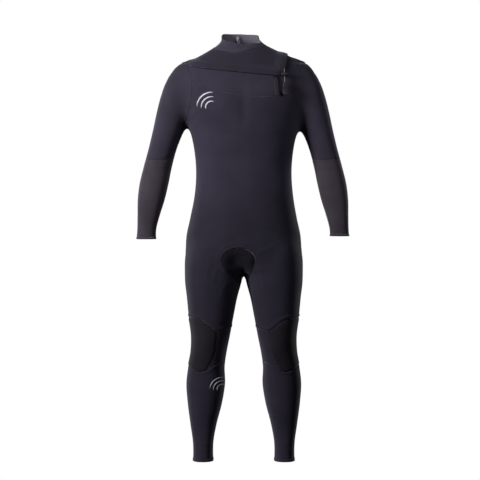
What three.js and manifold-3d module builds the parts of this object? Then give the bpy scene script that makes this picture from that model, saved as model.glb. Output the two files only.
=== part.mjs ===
// A full-length neoprene wetsuit with a chest zip, in the shape it has when worn: shell panels, hems,
// zip, inner storm flap and the drawcord of the neck flap. Millimetres, +Z up, the wearer faces -Y and
// the wearer's left is +X. The origin is in the neck, where the hook of a hanger stands.
import * as THREE from "three";
import { LoftGeometry } from "three/addons/geometries/LoftGeometry.js";
import { mergeVertices } from "three/addons/utils/BufferGeometryUtils.js";
import Module from "manifold-3d";

// ---------- driving dimensions ----------
const WALL = 4; // neoprene with its two jerseys
const SEAM = 0.6; // the gap left between glued panels
const ROUNDNESS = 2.3; // exponent of the body's superellipse sections
const ANKLE = -1400; // the ankle hems' lower edge
const COLLAR_TOP = 50;
const SIDE_SEAM = 8; // y of the side and inner leg seams
const HEM = { ankle: 10, wrist: 8 }; // heights of the hem bands
const WRIST = { left: -632, right: -642 }; // the sleeve hems' lower edges
const SIDES_OF = { torso: 20, arm: 12, leg: 14 }; // flats round each tube
const REACH = 400; // longer than the suit is deep, for blades that cut right through

// Fit charts: height, centre x, centre y, half width, half depth at each landmark, from the bottom up.
const BODY_CHART = [
  [-772, 0, 12, 40, 52], // crotch
  [-745, 0, 14, 118, 92],
  [-700, 0, 14, 189, 120],
  [-640, 0, 11, 191, 122], // hip
  [-570, 0, 5, 178, 115],
  [-500, 1, -1, 166, 108],
  [-410, 2, -3, 160, 104], // waist
  [-335, 2, -1, 167, 111],
  [-260, 2, 1, 184, 120], // armpit
  [-190, 1, 3, 204, 118],
  [-135, 1, 6, 216, 108],
  [-95, 1, 9, 216, 96],
  [-68, 1, 11, 207, 87],
  [-48, 1, 12, 190, 81], // shoulder point
  [-31, 0, 12, 163, 76],
  [-15, 0, 11, 134, 72],
  [0, -1, 8, 107, 68],
  [14, -4, 3, 82, 65], // neck base
  [26, -7, -2, 68, 62],
  [50, -9, -8, 64, 60], // collar rim
];
const ARM_CHART = [
  [-665, 330, -28, 32, 25],
  [-640, 328, -25, 31, 25], // wrist
  [-600, 325, -21, 32, 27],
  [-560, 319, -16, 37, 33],
  [-515, 312, -9, 44, 41],
  [-456, 303, 0, 48, 46], // forearm
  [-400, 292, 8, 46, 47], // elbow
  [-333, 272, 11, 46, 52],
  [-270, 251, 11, 51, 58],
  [-210, 234, 10, 55, 62],
  [-160, 222, 10, 56, 62], // deltoid
  [-115, 214, 11, 49, 54],
  [-80, 206, 12, 37, 40],
  [-58, 200, 12, 22, 24],
  [-48, 198, 12, 6, 8],
];
const LEG_CHART = [
  [-1425, 139, 13, 32, 42],
  [-1400, 139, 13, 32, 42], // ankle
  [-1340, 139, 14, 33, 41],
  [-1280, 138, 15, 41, 45],
  [-1200, 133, 13, 56, 56],
  [-1135, 130, 9, 63, 62], // calf
  [-1075, 127, 3, 58, 62],
  [-1025, 119, -2, 57, 65], // knee
  [-975, 113, -3, 62, 70],
  [-900, 111, -1, 74, 83],
  [-840, 108, 3, 84, 93],
  [-789, 104, 6, 94, 103],
  [-755, 101, 8, 98, 109], // thigh root
  [-700, 98, 11, 96, 114],
  [-650, 94, 12, 90, 110],
  [-610, 90, 12, 78, 98],
];

// ---------- solids ----------
const wasm = await Module();
wasm.setup();

function solid(geometry) {
  const bare = new THREE.BufferGeometry();
  bare.setAttribute("position", geometry.getAttribute("position"));
  bare.setIndex(geometry.getIndex());
  const merged = mergeVertices(bare, 1e-3);
  return new wasm.Manifold(
    new wasm.Mesh({
      numProp: 3,
      vertProperties: merged.getAttribute("position").array,
      triVerts: new Uint32Array(merged.getIndex().array),
    }),
  );
}

function geometryOf(made) {
  const { vertProperties, triVerts } = made.getMesh();
  const geometry = new THREE.BufferGeometry();
  geometry.setAttribute("position", new THREE.BufferAttribute(new Float32Array(vertProperties), 3));
  geometry.setIndex(new THREE.BufferAttribute(new Uint32Array(triVerts), 1));
  geometry.computeVertexNormals();
  return geometry;
}

const union = (solids) => solids.reduce((all, one) => all.add(one));
const box = (size, centre, turn = new THREE.Euler()) => {
  const geometry = new THREE.BoxGeometry(...size).applyMatrix4(
    new THREE.Matrix4().makeRotationFromEuler(turn).setPosition(...centre),
  );
  return solid(geometry);
};

// ---------- the body form ----------
class Form {
  constructor(chart, side = 1) {
    this.side = side;
    this.spline = new THREE.CubicInterpolant(chart.map((row) => row[0]), chart.flatMap((row) => row.slice(1)), 4);
  }

  at(z) {
    const [x, y, w, d] = this.spline.evaluate(z);
    return { x: this.side * x, y, w, d };
  }

  ring(z, inset, sides) {
    const { x, y, w, d } = this.at(z);
    const bulge = (value) => Math.sign(value) * Math.abs(value) ** (2 / ROUNDNESS);
    return Array.from({ length: sides }, (_, i) => {
      const angle = (2 * Math.PI * (i + 0.5)) / sides;
      return new THREE.Vector3(x + (w - inset) * bulge(Math.cos(angle)), y + (d - inset) * bulge(Math.sin(angle)), z);
    });
  }

  tube(bottom, top, steps, sides, inset = 0) {
    const rings = Array.from({ length: steps + 1 }, (_, i) => this.ring(bottom + ((top - bottom) * i) / steps, inset, sides));
    return solid(new LoftGeometry(rings, { capStart: true, capEnd: true }));
  }

  // y of the form's front at x and z, depth millimetres under its surface
  front(x, z, depth = 0) {
    const form = this.at(z);
    const across = Math.min(1, Math.abs((x - form.x) / (form.w - depth)));
    return form.y - (form.d - depth) * (1 - across ** ROUNDNESS) ** (1 / ROUNDNESS);
  }
}

const torso = new Form(BODY_CHART);
const arms = { left: new Form(ARM_CHART), right: new Form(ARM_CHART, -1) };
const legs = { left: new Form(LEG_CHART), right: new Form(LEG_CHART, -1) };
const SIDES = ["left", "right"];
const sign = { left: 1, right: -1 };

function body(inset) {
  const past = inset ? 15 : 0; // the inner form runs on past the hems and the collar, so that they are open
  return union([
    torso.tube(-772 + 1.5 * inset, -140, 12, SIDES_OF.torso, inset),
    torso.tube(-140, COLLAR_TOP, 10, SIDES_OF.torso, inset),
    torso.tube(COLLAR_TOP - 1, COLLAR_TOP + past, 1, SIDES_OF.torso, inset),
    ...SIDES.flatMap((side) => [
      arms[side].tube(WRIST[side] - past, -150, 9, SIDES_OF.arm, inset),
      arms[side].tube(-150, -48 - 2 * inset, 4, SIDES_OF.arm, inset),
      legs[side].tube(ANKLE - past, -610 - inset, 14, SIDES_OF.leg, inset),
    ]),
  ]);
}

// ---------- blades ----------
// A ribbon that stands on a curve in the front view and runs through the suit from y0 to y1.
function ribbon(points, y0, y1, closed = false) {
  const curve = new THREE.CatmullRomCurve3(points.map(([x, z]) => new THREE.Vector3(x, 0, z)), closed, "centripetal");
  const spine = curve.getPoints(points.length * 2);
  if (closed) spine.pop();
  const edge = (side) =>
    spine.map((point, i) => {
      const before = spine[closed ? (i + spine.length - 1) % spine.length : Math.max(0, i - 1)];
      const after = spine[closed ? (i + 1) % spine.length : Math.min(spine.length - 1, i + 1)];
      const along = after.clone().sub(before).normalize();
      return new THREE.Vector2(point.x - (side * SEAM * along.z) / 2, point.z + (side * SEAM * along.x) / 2);
    });
  let shape;
  if (closed) {
    shape = new THREE.Shape(edge(-1));
    shape.holes.push(new THREE.Path(edge(1).reverse()));
    if (THREE.ShapeUtils.isClockWise(edge(-1))) throw new Error("a closed ribbon runs counter-clockwise");
  } else {
    shape = new THREE.Shape([...edge(-1), ...edge(1).reverse()]);
  }
  const geometry = new THREE.ExtrudeGeometry(shape, { depth: y1 - y0, bevelEnabled: false });
  return solid(geometry.rotateX(Math.PI / 2).translate(0, y1, 0));
}

const mirrored = (points, side) => points.map(([x, z]) => [sign[side] * x, z]);
const slab = (z, side = 0) => box([side ? 500 : 1200, REACH * 2, SEAM], [side * 260, 0, z]);
const infront = (points) => ribbon(points, -REACH, SIDE_SEAM + SEAM);
const through = (points, closed) => ribbon(points, -REACH, REACH, closed);

const CHEST_SEAM = [[-215, -80], [-156, -115], [-104, -139], [-41, -156], [44, -166], [109, -163], [215, -140]];
const ARMHOLE_SEAM = [[206, -5], [193, -40], [180, -75], [172, -110], [171, -140], [177, -190], [190, -241], [206, -285]];
const GUSSET = [[0, -802], [50, -780], [66, -735], [46, -690], [0, -670], [-46, -690], [-66, -735], [-50, -780]];
const KNEE_TOP = [[-5, -938], [40, -942], [80, -948], [110, -930], [143, -911], [215, -904]];
const KNEE_FOOT = [[20, -1050], [60, -1062], [95, -1088], [133, -1106], [165, -1082], [215, -1062]];
const KNEE_EDGE = [[82, -935], [88, -950], [96, -1003], [108, -1050], [122, -1085], [128, -1125]];
const FLAP_SHOULDER = [[-230, -36], [-190, -48], [-150, -61]]; // where the flap's seam leaves the zip
const COLLAR_SEAM = [[-150, -62], [-66, -17], [-30, -3], [10, 10], [60, 19], [150, 26]]; // y and z, from the side
const FLAP_EDGE = [[158, 10], [151, -19], [142, -50], [137, -74], [129, -90], [112, -93]];

// ---------- the zip's track: a circle on the chest ----------
const ZIP = {
  gap: 13, half: 3, web: 0.8, pitch: 13, tape: 17, lip: 8.5, lean: 0.38,
  teethDepth: [3.2, 6.4], tapeDepth: [4.4, 5.2], stop: [-3.4, 3.4, 0.9, 2.9],
};
const TRACK_X = [-146, -14, 118]; // its two ends and a point between them
const TRACK_TOP = -62; // height of its first end
const TRACK_FALL = 29 / 255; // fall for each millimetre across
const trackPoint = (x) => {
  const z = TRACK_TOP - (x - TRACK_X[0]) * TRACK_FALL;
  return new THREE.Vector3(x, torso.front(x, z), z);
};
const [trackStart, trackMiddle, trackEnd] = TRACK_X.map(trackPoint);
const track = (() => {
  const a = trackStart.clone().sub(trackEnd);
  const b = trackMiddle.clone().sub(trackEnd);
  const axis = a.clone().cross(b).normalize();
  if (axis.z < 0) axis.negate();
  const cross = a.clone().cross(b);
  const centre = b.clone().multiplyScalar(a.lengthSq()).sub(a.clone().multiplyScalar(b.lengthSq())).cross(cross);
  centre.divideScalar(2 * cross.lengthSq()).add(trackEnd);
  const out = trackMiddle.clone().sub(centre).normalize();
  return { centre, axis, out, radius: trackMiddle.distanceTo(centre) };
})();

// A point by its angle from the track's middle (towards the wearer's left), height up the chest and depth
function onTrack(angle, up, depth) {
  const radius = track.radius - up * Math.sin(ZIP.lean) - depth * Math.cos(ZIP.lean);
  const height = up * Math.cos(ZIP.lean) - depth * Math.sin(ZIP.lean);
  const arm = track.out.clone().applyAxisAngle(track.axis, angle).multiplyScalar(radius);
  return track.centre.clone().add(arm).addScaledVector(track.axis, height);
}
const angleOf = (point) => {
  const arm = point.clone().sub(track.centre).projectOnPlane(track.axis);
  return Math.atan2(track.axis.dot(track.out.clone().cross(arm)), track.out.dot(arm));
};
const zipStart = angleOf(trackStart);
const zipEnd = angleOf(trackEnd);

function alongTrack(from, to, up0, up1, depth0, depth1, steps = 1) {
  const profile = [[up0, depth0], [up0, depth1], [up1, depth1], [up1, depth0]];
  const rings = Array.from({ length: steps + 1 }, (_, i) =>
    profile.map(([up, depth]) => onTrack(from + ((to - from) * i) / steps, up, depth)),
  );
  return solid(new LoftGeometry(rings, { capStart: true, capEnd: true }));
}

// ---------- places on the chest ----------
function onChest(x, z, proud) {
  const step = 2;
  const slopeX = (torso.front(x + step, z) - torso.front(x - step, z)) / (2 * step);
  const slopeZ = (torso.front(x, z + step) - torso.front(x, z - step)) / (2 * step);
  const out = new THREE.Vector3(slopeX, -1, slopeZ).normalize();
  return new THREE.Vector3(x, torso.front(x, z), z).addScaledVector(out, proud);
}

// A frame at an origin: its Z runs back along "down", its X is as near to the given one as it can be.
function frameAt(origin, down, across = new THREE.Vector3(1, 0, 0)) {
  const up = down.clone().normalize().negate();
  const x = across.clone().projectOnPlane(up).normalize();
  return new THREE.Matrix4().makeBasis(x, up.clone().cross(x), up).setPosition(origin);
}

const placed = (geometry, frame) => solid(geometry.applyMatrix4(frame));
const block = (w, d, h, x, y, z, frame) => placed(new THREE.BoxGeometry(w, d, h).translate(x, y, z), frame);
const rod = (r, length, z, frame, sides = 12) =>
  placed(new THREE.CylinderGeometry(r, r, length, sides).rotateX(Math.PI / 2).translate(0, 0, z), frame);

// ---------- the panels ----------
const parts = {};

function pieceAt(pieces, [x, y, z]) {
  const distance = (made) => {
    const { min, max } = made.boundingBox();
    return Math.hypot(x - (min[0] + max[0]) / 2, y - (min[1] + max[1]) / 2, z - (min[2] + max[2]) / 2);
  };
  return pieces.reduce((best, one) => (distance(one) < distance(best) ? one : best));
}

function split(made, ...blades) {
  return made.subtract(union(blades)).decompose();
}

function makePanels() {
  const shell = body(0).subtract(body(WALL));
  const [left, right] = SIDES.map((side) => mirrored(ARMHOLE_SEAM, side));
  const suit = split(shell, through(left), through(right));
  const trunk = pieceAt(suit, [0, 0, -700]);
  for (const side of SIDES) makeSleeve(pieceAt(suit, [sign[side] * 260, 0, -340]), side);

  const trunkPieces = split(trunk, slab(ANKLE + HEM.ankle), ...SIDES.flatMap((side) => {
    return [through(mirrored(KNEE_TOP, side)), through(mirrored(KNEE_FOOT, side))];
  }));
  for (const side of SIDES) {
    const x = sign[side] * 130;
    parts[`ankle_hem_${side}`] = pieceAt(trunkPieces, [x, 15, ANKLE]);
    makeLowerLeg(pieceAt(trunkPieces, [x, 15, -1235]), side);
    makeKnee(pieceAt(trunkPieces, [x, 0, -1000]), side);
  }
  makeTorso(pieceAt(trunkPieces, [0, 0, -450]));
}

function makeSleeve(sleeve, side) {
  const pieces = split(sleeve, slab(-374, sign[side]), slab(WRIST[side] + HEM.wrist, sign[side]));
  const x = sign[side] * 300;
  parts[`upper_sleeve_${side}`] = pieceAt(pieces, [x, 0, -200]);
  parts[`forearm_sleeve_${side}`] = pieceAt(pieces, [x, 0, -500]);
  parts[`wrist_hem_${side}`] = pieceAt(pieces, [x, -25, WRIST[side]]);
}

function makeLowerLeg(leg, side) {
  const [front, back] = split(leg, box([1200, SEAM, 3000], [0, SIDE_SEAM, 0])).sort(
    (a, b) => a.boundingBox().min[1] - b.boundingBox().min[1],
  );
  parts[`shin_${side}`] = front;
  parts[`calf_${side}`] = back;
}

function makeKnee(knee, side) {
  const outerSeam = box([200, SEAM, 600], [sign[side] * 230, SIDE_SEAM, -1000]);
  const pieces = split(knee, outerSeam, infront(mirrored(KNEE_EDGE, side)));
  parts[`knee_pad_${side}`] = pieceAt(pieces, [sign[side] * 140, -40, -1000]);
  parts[`knee_back_${side}`] = pieceAt(pieces, [sign[side] * 110, 40, -1000]);
}

// The collar's seam is drawn from the side, so its blade runs across the suit.
function collarBlade() {
  const above = COLLAR_SEAM.map(([y, z]) => [y, z + SEAM]).reverse();
  const shape = new THREE.Shape([...COLLAR_SEAM, ...above].map(([y, z]) => new THREE.Vector2(y, z)));
  const [across, back, up] = [[1, 0, 0], [0, 1, 0], [0, 0, 1]].map((axis) => new THREE.Vector3(...axis));
  const turn = new THREE.Matrix4().makeBasis(back, up, across).setPosition(-REACH / 2, 0, 0);
  return solid(new THREE.ExtrudeGeometry(shape, { depth: REACH, bevelEnabled: false }).applyMatrix4(turn));
}

function makeTorso(trunk) {
  const pieces = split(trunk, collarBlade(), through(GUSSET, true));
  parts.collar = pieceAt(pieces, [0, 0, 20]);
  parts.crotch_gusset = pieceAt(pieces, [0, 0, -735]);
  const rest = pieceAt(pieces, [0, 0, -450]);
  const halves = split(rest, box([1200, SEAM, 3000], [0, SIDE_SEAM, 0]));
  const size = (made) => made.volume();
  const [back, front] = halves.sort((a, b) => size(b) - size(a)).slice(0, 2)
    .sort((a, b) => b.boundingBox().max[1] - a.boundingBox().max[1]);
  parts.back_body = back;

  const gap = alongTrack(zipStart - 0.02, zipEnd + 0.02, -ZIP.gap / 2, ZIP.gap / 2, -20, 20, 16);
  const rebate = alongTrack(zipStart - 0.035, zipEnd + 0.035, -ZIP.tape - 2, ZIP.tape + 2, 4.1, 24, 16);
  const seams = [gap, rebate, infront(CHEST_SEAM), infront(FLAP_SHOULDER), infront(FLAP_EDGE)];
  const fronts = split(front, ...seams);
  parts.front_body = pieceAt(fronts, [0, -50, -500]);
  parts.chest_panel = pieceAt(fronts, [0, -50, -90]);
  parts.neck_flap = pieceAt(fronts, [-20, -40, -40]).add(makeLip());
}

// The flap's free edge stands clear of the zip and covers it.
function makeLip() {
  const [from, to] = [zipStart - 0.012, zipEnd + 0.004];
  const cover = torso.tube(-140, COLLAR_TOP, 10, SIDES_OF.torso, -9.5);
  const sheet = cover.subtract(torso.tube(-150, COLLAR_TOP + 5, 11, SIDES_OF.torso, -7));
  const riser = cover.subtract(torso.tube(-150, COLLAR_TOP + 5, 11, SIDES_OF.torso, 1));
  return sheet.intersect(alongTrack(from, to, -ZIP.lip, 15, -30, 30, 16))
    .add(riser.intersect(alongTrack(from, to, ZIP.gap / 2 + 2, 15, -30, 30, 16)));
}

// A second, inner layer lies behind the zip and keeps the water out; its lower edge meets the chest panel.
const STORM_FLAP = { top: -38, foot: -168, sewn: 10, depth: [14, 16], half: 135, x: -10 };
function makeStormFlap() {
  const { top, foot, sewn, depth: [outer, inner], half, x } = STORM_FLAP;
  const hollow = torso.tube(foot - 12, top + 8, 6, SIDES_OF.torso, inner);
  const sheet = torso.tube(foot, top, 6, SIDES_OF.torso, outer);
  const seamAllowance = torso.tube(foot, foot + sewn, 1, SIDES_OF.torso, WALL + 2.5);
  const frontHalf = box([2 * half, REACH, REACH], [x, -20 - REACH / 2, (top + foot) / 2]);
  return sheet.add(seamAllowance).subtract(hollow).intersect(frontHalf);
}

// ---------- the zip ----------
function makeZip() {
  const span = (zipEnd - zipStart) * track.radius;
  const count = Math.floor(span / ZIP.pitch);
  for (const [name, up] of [["upper", 1], ["lower", -1]]) {
    const strip = (low, high) => [low * up, high * up].sort((a, b) => a - b);
    const start = zipStart + (up > 0 ? 0 : (ZIP.pitch / 2) / track.radius);
    const teeth = Array.from({ length: count }, (_, i) => {
      const from = start + (i * ZIP.pitch) / track.radius;
      return alongTrack(from, from + (ZIP.pitch * 0.55) / track.radius, ...strip(ZIP.web, ZIP.half), ...ZIP.teethDepth);
    });
    const tape = alongTrack(zipStart - 0.01, zipEnd + 0.01, ...strip(ZIP.web + 1, ZIP.tape), ...ZIP.tapeDepth, 12);
    parts[`zip_row_${name}`] = union([...teeth, tape]);
  }
  parts.zip_stop_closed = alongTrack(zipEnd + 0.004, zipEnd + 0.009, ...ZIP.stop);
  parts.zip_stop_open = alongTrack(zipStart - 0.01, zipStart - 0.005, ...ZIP.stop);
}

// The slider's two plates run before and behind the rows; the wedge that joins them runs between the rows.
const SLIDER = {
  length: 17, wide: 5.4, at: zipEnd - 0.018,
  front: [0.6, 2.6], back: [7, 8.6], // depths of its plates
  wedge: [-0.45, 0.45, 1, 8],
  bridge: 2.5, posts: [2.6, 3.8], top: [-3.6, -2.5], // the bow that holds the pull's ring
};
function makeSlider() {
  const half = SLIDER.length / 2 / track.radius;
  const { posts } = SLIDER;
  const [from, to] = [SLIDER.at - half, SLIDER.at + half];
  const [left, right] = [-1, 1].map((way) => SLIDER.at + (way * SLIDER.bridge) / track.radius);
  parts.zip_slider = union([
    alongTrack(from, to, -SLIDER.wide, SLIDER.wide, ...SLIDER.front),
    alongTrack(from, to, -SLIDER.wide, SLIDER.wide, ...SLIDER.back),
    alongTrack(SLIDER.at, to, ...SLIDER.wedge),
    alongTrack(left, right, -posts[1], -posts[0], -3, 1),
    alongTrack(left, right, ...posts, -3, 1),
    alongTrack(left, right, -posts[1], posts[1], ...SLIDER.top),
  ]);
}

// ---------- the pull of the zip ----------
const PULL = { ring: 12, bar: 2.2, tab: [14, 60, 3], head: [5.6, 5.6, 9.4], slot: 3.5 };
const sliderTop = onTrack(SLIDER.at, 0, -1);
const chestTangent = onTrack(SLIDER.at + 0.01, 0, 0).sub(onTrack(SLIDER.at, 0, 0)).normalize();
const ringFoot = onChest(sliderTop.x + 1, sliderTop.z - 14, 5.3);
const tabFoot = onChest(sliderTop.x + 3, ringFoot.z - PULL.tab[1], 8.4);

function makePull() {
  const ring = frameAt(ringFoot, ringFoot.clone().sub(sliderTop), chestTangent);
  const reach = ringFoot.distanceTo(sliderTop);
  parts.zip_pull_ring = block(PULL.ring, PULL.bar, reach + PULL.bar, 0, 0, reach / 2, ring)
    .subtract(block(PULL.ring - 2 * PULL.bar, 9, reach - PULL.bar, 0, 0, reach / 2, ring));
  const tab = frameAt(ringFoot, tabFoot.clone().sub(ringFoot), chestTangent);
  const [wide, long, thick] = [PULL.tab[0], PULL.tab[1], PULL.tab[2]];
  parts.zip_pull_tab = block(wide, thick, long, 0, 0, -4 - long / 2, tab)
    .add(block(...PULL.head, 0, 0, -1.5, tab))
    .subtract(block(9, PULL.slot, PULL.slot, 0, 0, 0, tab));
}

// ---------- the drawcord of the neck flap ----------
// The cord leaves the flap at the shoulder, follows its free edge and hangs from its corner.
const CORD = { r: 1.5, clear: 0.4 };
const CORD_ROUTE = [
  [147.7, -27.9, -24.3], [146.8, -34.2, -28.3], [145.8, -40.3, -32.6], [144.7, -45.6, -37.8],
  [143.5, -50.4, -43.5], [142.3, -54.8, -49.6], [141.1, -58.4, -56.1], [140, -62, -62.6],
  [139.1, -66, -68.9], [138.6, -70.3, -75.1], [138.3, -74.7, -81.2], [138.5, -77.4, -88.2],
  [138.6, -80.2, -95.2], [138.8, -83, -102.2], [138.9, -85.8, -109.2], [139, -88.6, -116.2],
  [139.2, -91.4, -123.2],
].map((point) => new THREE.Vector3(...point));
const cordHang = { top: CORD_ROUTE[10], foot: CORD_ROUTE.at(-1) };
const LOCK = { r: 7, length: 17, bore: 5.8, button: 5.4, drop: 10 };
const TAG = { wide: 13, long: 46, thick: 4, bore: 7 };

function cordEye(run, share) {
  const eye = frameAt(run.getPointAt(share), run.getTangentAt(share));
  return rod(4, 5, 0, eye).subtract(rod(CORD.r + CORD.clear, 9, 0, eye));
}

function makeDrawcord() {
  const run = new THREE.CatmullRomCurve3(CORD_ROUTE, false, "centripetal");
  const section = new THREE.Shape(new THREE.EllipseCurve(0, 0, CORD.r, CORD.r).getPoints(8).slice(0, -1));
  parts.drawcord = solid(new THREE.ExtrudeGeometry(section, { steps: 26, extrudePath: run, bevelEnabled: false }));
  parts.cord_eye_shoulder = cordEye(run, 0.05);
  parts.cord_eye_corner = cordEye(run, 0.46);

  const down = cordHang.foot.clone().sub(cordHang.top);
  const at = frameAt(cordHang.top, down);
  const middle = -LOCK.drop;
  const across = (r, length, x) =>
    placed(new THREE.CylinderGeometry(r, r, length, 16).rotateZ(Math.PI / 2).translate(x, 0, middle), at);
  const cordBore = rod(CORD.r + CORD.clear, 40, middle, at);
  parts.cord_lock_body = across(LOCK.r, LOCK.length, -2.5).subtract(across(LOCK.bore, LOCK.length - 2.5, 0.5))
    .subtract(cordBore);
  const slot = block(2 * CORD.r + 3.8, 2 * CORD.r + 2 * CORD.clear, 40, 1.7, 0, middle, at);
  parts.cord_lock_button = across(LOCK.button, 14.5, 4).subtract(slot);

  const end = frameAt(cordHang.foot, down);
  parts.cord_tag = block(TAG.wide, TAG.thick, TAG.long, 0, 0, TAG.bore - TAG.long / 2, end)
    .subtract(rod(CORD.r + CORD.clear, 2 * (TAG.bore + CORD.clear), TAG.bore, end));
}

// ---------- trim ----------
const HANG_LOOP = { at: [-17, 45, 33], size: [10, 5, 30], hole: [14, 2.4, 25] };
const SIZE_LABEL = { at: [-4, 74, -28], size: [34, 0.8, 24] };
const blockAt = (size, at) => block(...size, 0, 0, 0, new THREE.Matrix4().makeTranslation(...at));

function makeTrim() {
  parts.hang_loop = blockAt(HANG_LOOP.size, HANG_LOOP.at).subtract(blockAt(HANG_LOOP.hole, HANG_LOOP.at));
  parts.size_label = blockAt(SIZE_LABEL.size, SIZE_LABEL.at);
}

// ---------- finishes ----------
const FINISHES = {
  smooth_jersey: [0x2c2936, 0.92],
  panel_jersey: [0x302d3b, 0.92],
  sleeve_jersey: [0x3a3640, 0.94],
  knee_jersey: [0x1e1c22, 0.95],
  collar_jersey: [0x3a3642, 0.9],
  zip_plastic: [0x141418, 0.45],
  zip_tape: [0x17161b, 0.9],
  cord_braid: [0x26242c, 0.85],
  lock_plastic: [0x1b1a20, 0.5],
  pull_rubber: [0x1d1c22, 0.6],
  label_cloth: [0x9a97a2, 0.9],
};
const FINISH_OF = [
  [/^(front_body|back_body|shin|calf|ankle_hem|knee_back)/, "smooth_jersey"],
  [/^(chest_panel|neck_flap|storm_flap|upper_sleeve)/, "panel_jersey"],
  [/^(forearm_sleeve|wrist_hem)/, "sleeve_jersey"],
  [/^(knee_pad|crotch_gusset)/, "knee_jersey"],
  [/^collar/, "collar_jersey"],
  [/^zip_row/, "zip_tape"],
  [/^(zip_slider|zip_stop|zip_pull_ring)/, "zip_plastic"],
  [/^(zip_pull_tab|cord_tag)/, "pull_rubber"],
  [/^drawcord/, "cord_braid"],
  [/^(cord_eye|cord_lock)/, "lock_plastic"],
  [/^(hang_loop|size_label)/, "label_cloth"],
];

// ---------- the suit ----------
makePanels();
parts.storm_flap = makeStormFlap();
makeZip();
makeSlider();
makePull();
makeDrawcord();
makeTrim();

const wetsuit = new THREE.Group();
for (const [name, made] of Object.entries(parts)) {
  const [, finish] = FINISH_OF.find(([pattern]) => pattern.test(name));
  const [color, roughness] = FINISHES[finish];
  const mesh = new THREE.Mesh(geometryOf(made), new THREE.MeshStandardMaterial({ color, roughness, name: finish }));
  mesh.name = name;
  wetsuit.add(mesh);
}

export default wetsuit;
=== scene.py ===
# %% [markdown]
# # A full wetsuit, panel by panel
# A wetsuit is a tube of soft rubber sheet cut into panels and glued edge to edge. This lesson first makes
# the smooth shape of the worn suit as one closed skin, and then cuts that skin along the real seams, so
# that every panel is a piece of its own and neighbours still fit each other exactly.

# %% The fixed frame
import math

import bmesh
import bpy
import numpy as np
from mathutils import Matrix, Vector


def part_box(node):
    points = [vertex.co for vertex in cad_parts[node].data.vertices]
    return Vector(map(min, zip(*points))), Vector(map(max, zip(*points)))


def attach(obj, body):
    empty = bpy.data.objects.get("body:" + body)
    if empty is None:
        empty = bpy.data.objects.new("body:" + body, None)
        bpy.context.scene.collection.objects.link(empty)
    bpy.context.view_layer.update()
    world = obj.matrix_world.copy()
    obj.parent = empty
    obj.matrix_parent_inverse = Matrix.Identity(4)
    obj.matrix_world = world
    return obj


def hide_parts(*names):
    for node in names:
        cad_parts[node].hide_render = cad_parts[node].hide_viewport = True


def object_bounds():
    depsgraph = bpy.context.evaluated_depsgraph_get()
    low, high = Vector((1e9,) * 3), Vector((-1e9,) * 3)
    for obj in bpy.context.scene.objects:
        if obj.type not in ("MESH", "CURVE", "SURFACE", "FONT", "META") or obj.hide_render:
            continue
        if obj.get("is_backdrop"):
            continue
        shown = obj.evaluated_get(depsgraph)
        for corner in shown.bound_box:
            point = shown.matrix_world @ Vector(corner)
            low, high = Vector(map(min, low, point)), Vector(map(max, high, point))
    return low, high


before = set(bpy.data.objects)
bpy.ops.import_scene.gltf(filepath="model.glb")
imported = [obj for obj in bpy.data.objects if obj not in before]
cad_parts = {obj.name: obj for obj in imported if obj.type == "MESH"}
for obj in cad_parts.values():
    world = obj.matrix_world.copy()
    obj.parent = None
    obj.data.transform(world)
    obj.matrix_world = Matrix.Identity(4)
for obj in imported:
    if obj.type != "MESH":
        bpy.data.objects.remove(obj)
cad_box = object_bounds()

MM = 0.001


# %% [markdown]
# ## Camera
# Clothes are usually shown from far away with a long lens, level with the waist, so that
# neck and ankles keep their true sizes. The camera stands five metres off and looks very slightly down.

# %% Camera
CAMERA_AT = (-0.010, -5.0, -0.50)
LOOKS_AT = (-0.010, 0.0, -0.646)
VIEW_WIDTH = 1.632 # metres across the view, at the suit


def add_camera():
    lens = bpy.data.cameras.new("camera")
    lens.sensor_fit = "HORIZONTAL"
    away = math.dist(CAMERA_AT, LOOKS_AT)
    lens.angle = 2 * math.atan(VIEW_WIDTH / 2 / away)
    camera = bpy.data.objects.new("camera", lens)
    camera.location = CAMERA_AT
    down = math.atan2(CAMERA_AT[2] - LOOKS_AT[2], LOOKS_AT[1] - CAMERA_AT[1])
    camera.rotation_euler = (math.pi / 2 - down, 0, 0)
    bpy.context.scene.collection.objects.link(camera)
    bpy.context.scene.camera = camera
    return camera


add_camera()
print("camera looks down by", round(math.degrees(math.atan2(0.146, 5.0)), 2), "degrees")


# %% [markdown]
# ## Shader sums written as Python
# A shader tree is arithmetic on sockets. The class below wraps a socket, so that a mask such as
# `1 - stripe * 0.5` adds its Math nodes by itself, and one method makes every other kind of node.

# %% A socket that can do sums
class Wire:
    def __init__(self, tree, socket):
        self.tree = tree
        self.socket = socket

    def sum_with(self, operation, *others, swap=False):
        values = [self, *others]
        if swap:
            values.reverse()
        return make(self.tree, "ShaderNodeMath", {"operation": operation}, dict(enumerate(values)))

    def __add__(self, other): return self.sum_with("ADD", other)
    def __radd__(self, other): return self.sum_with("ADD", other)
    def __sub__(self, other): return self.sum_with("SUBTRACT", other)
    def __rsub__(self, other): return self.sum_with("SUBTRACT", other, swap=True)
    def __mul__(self, other): return self.sum_with("MULTIPLY", other)
    def __rmul__(self, other): return self.sum_with("MULTIPLY", other)
    def __truediv__(self, other): return self.sum_with("DIVIDE", other)
    def __abs__(self): return self.sum_with("ABSOLUTE")
    def sin(self): return self.sum_with("SINE")
    def most(self, other): return self.sum_with("MAXIMUM", other)

    def ramp(self, low, high, to_low=0.0, to_high=1.0):
        sockets = {"Value": self, "From Min": low, "From Max": high, "To Min": to_low, "To Max": to_high}
        return make(self.tree, "ShaderNodeMapRange", {"interpolation_type": "SMOOTHSTEP"}, sockets)


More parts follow.
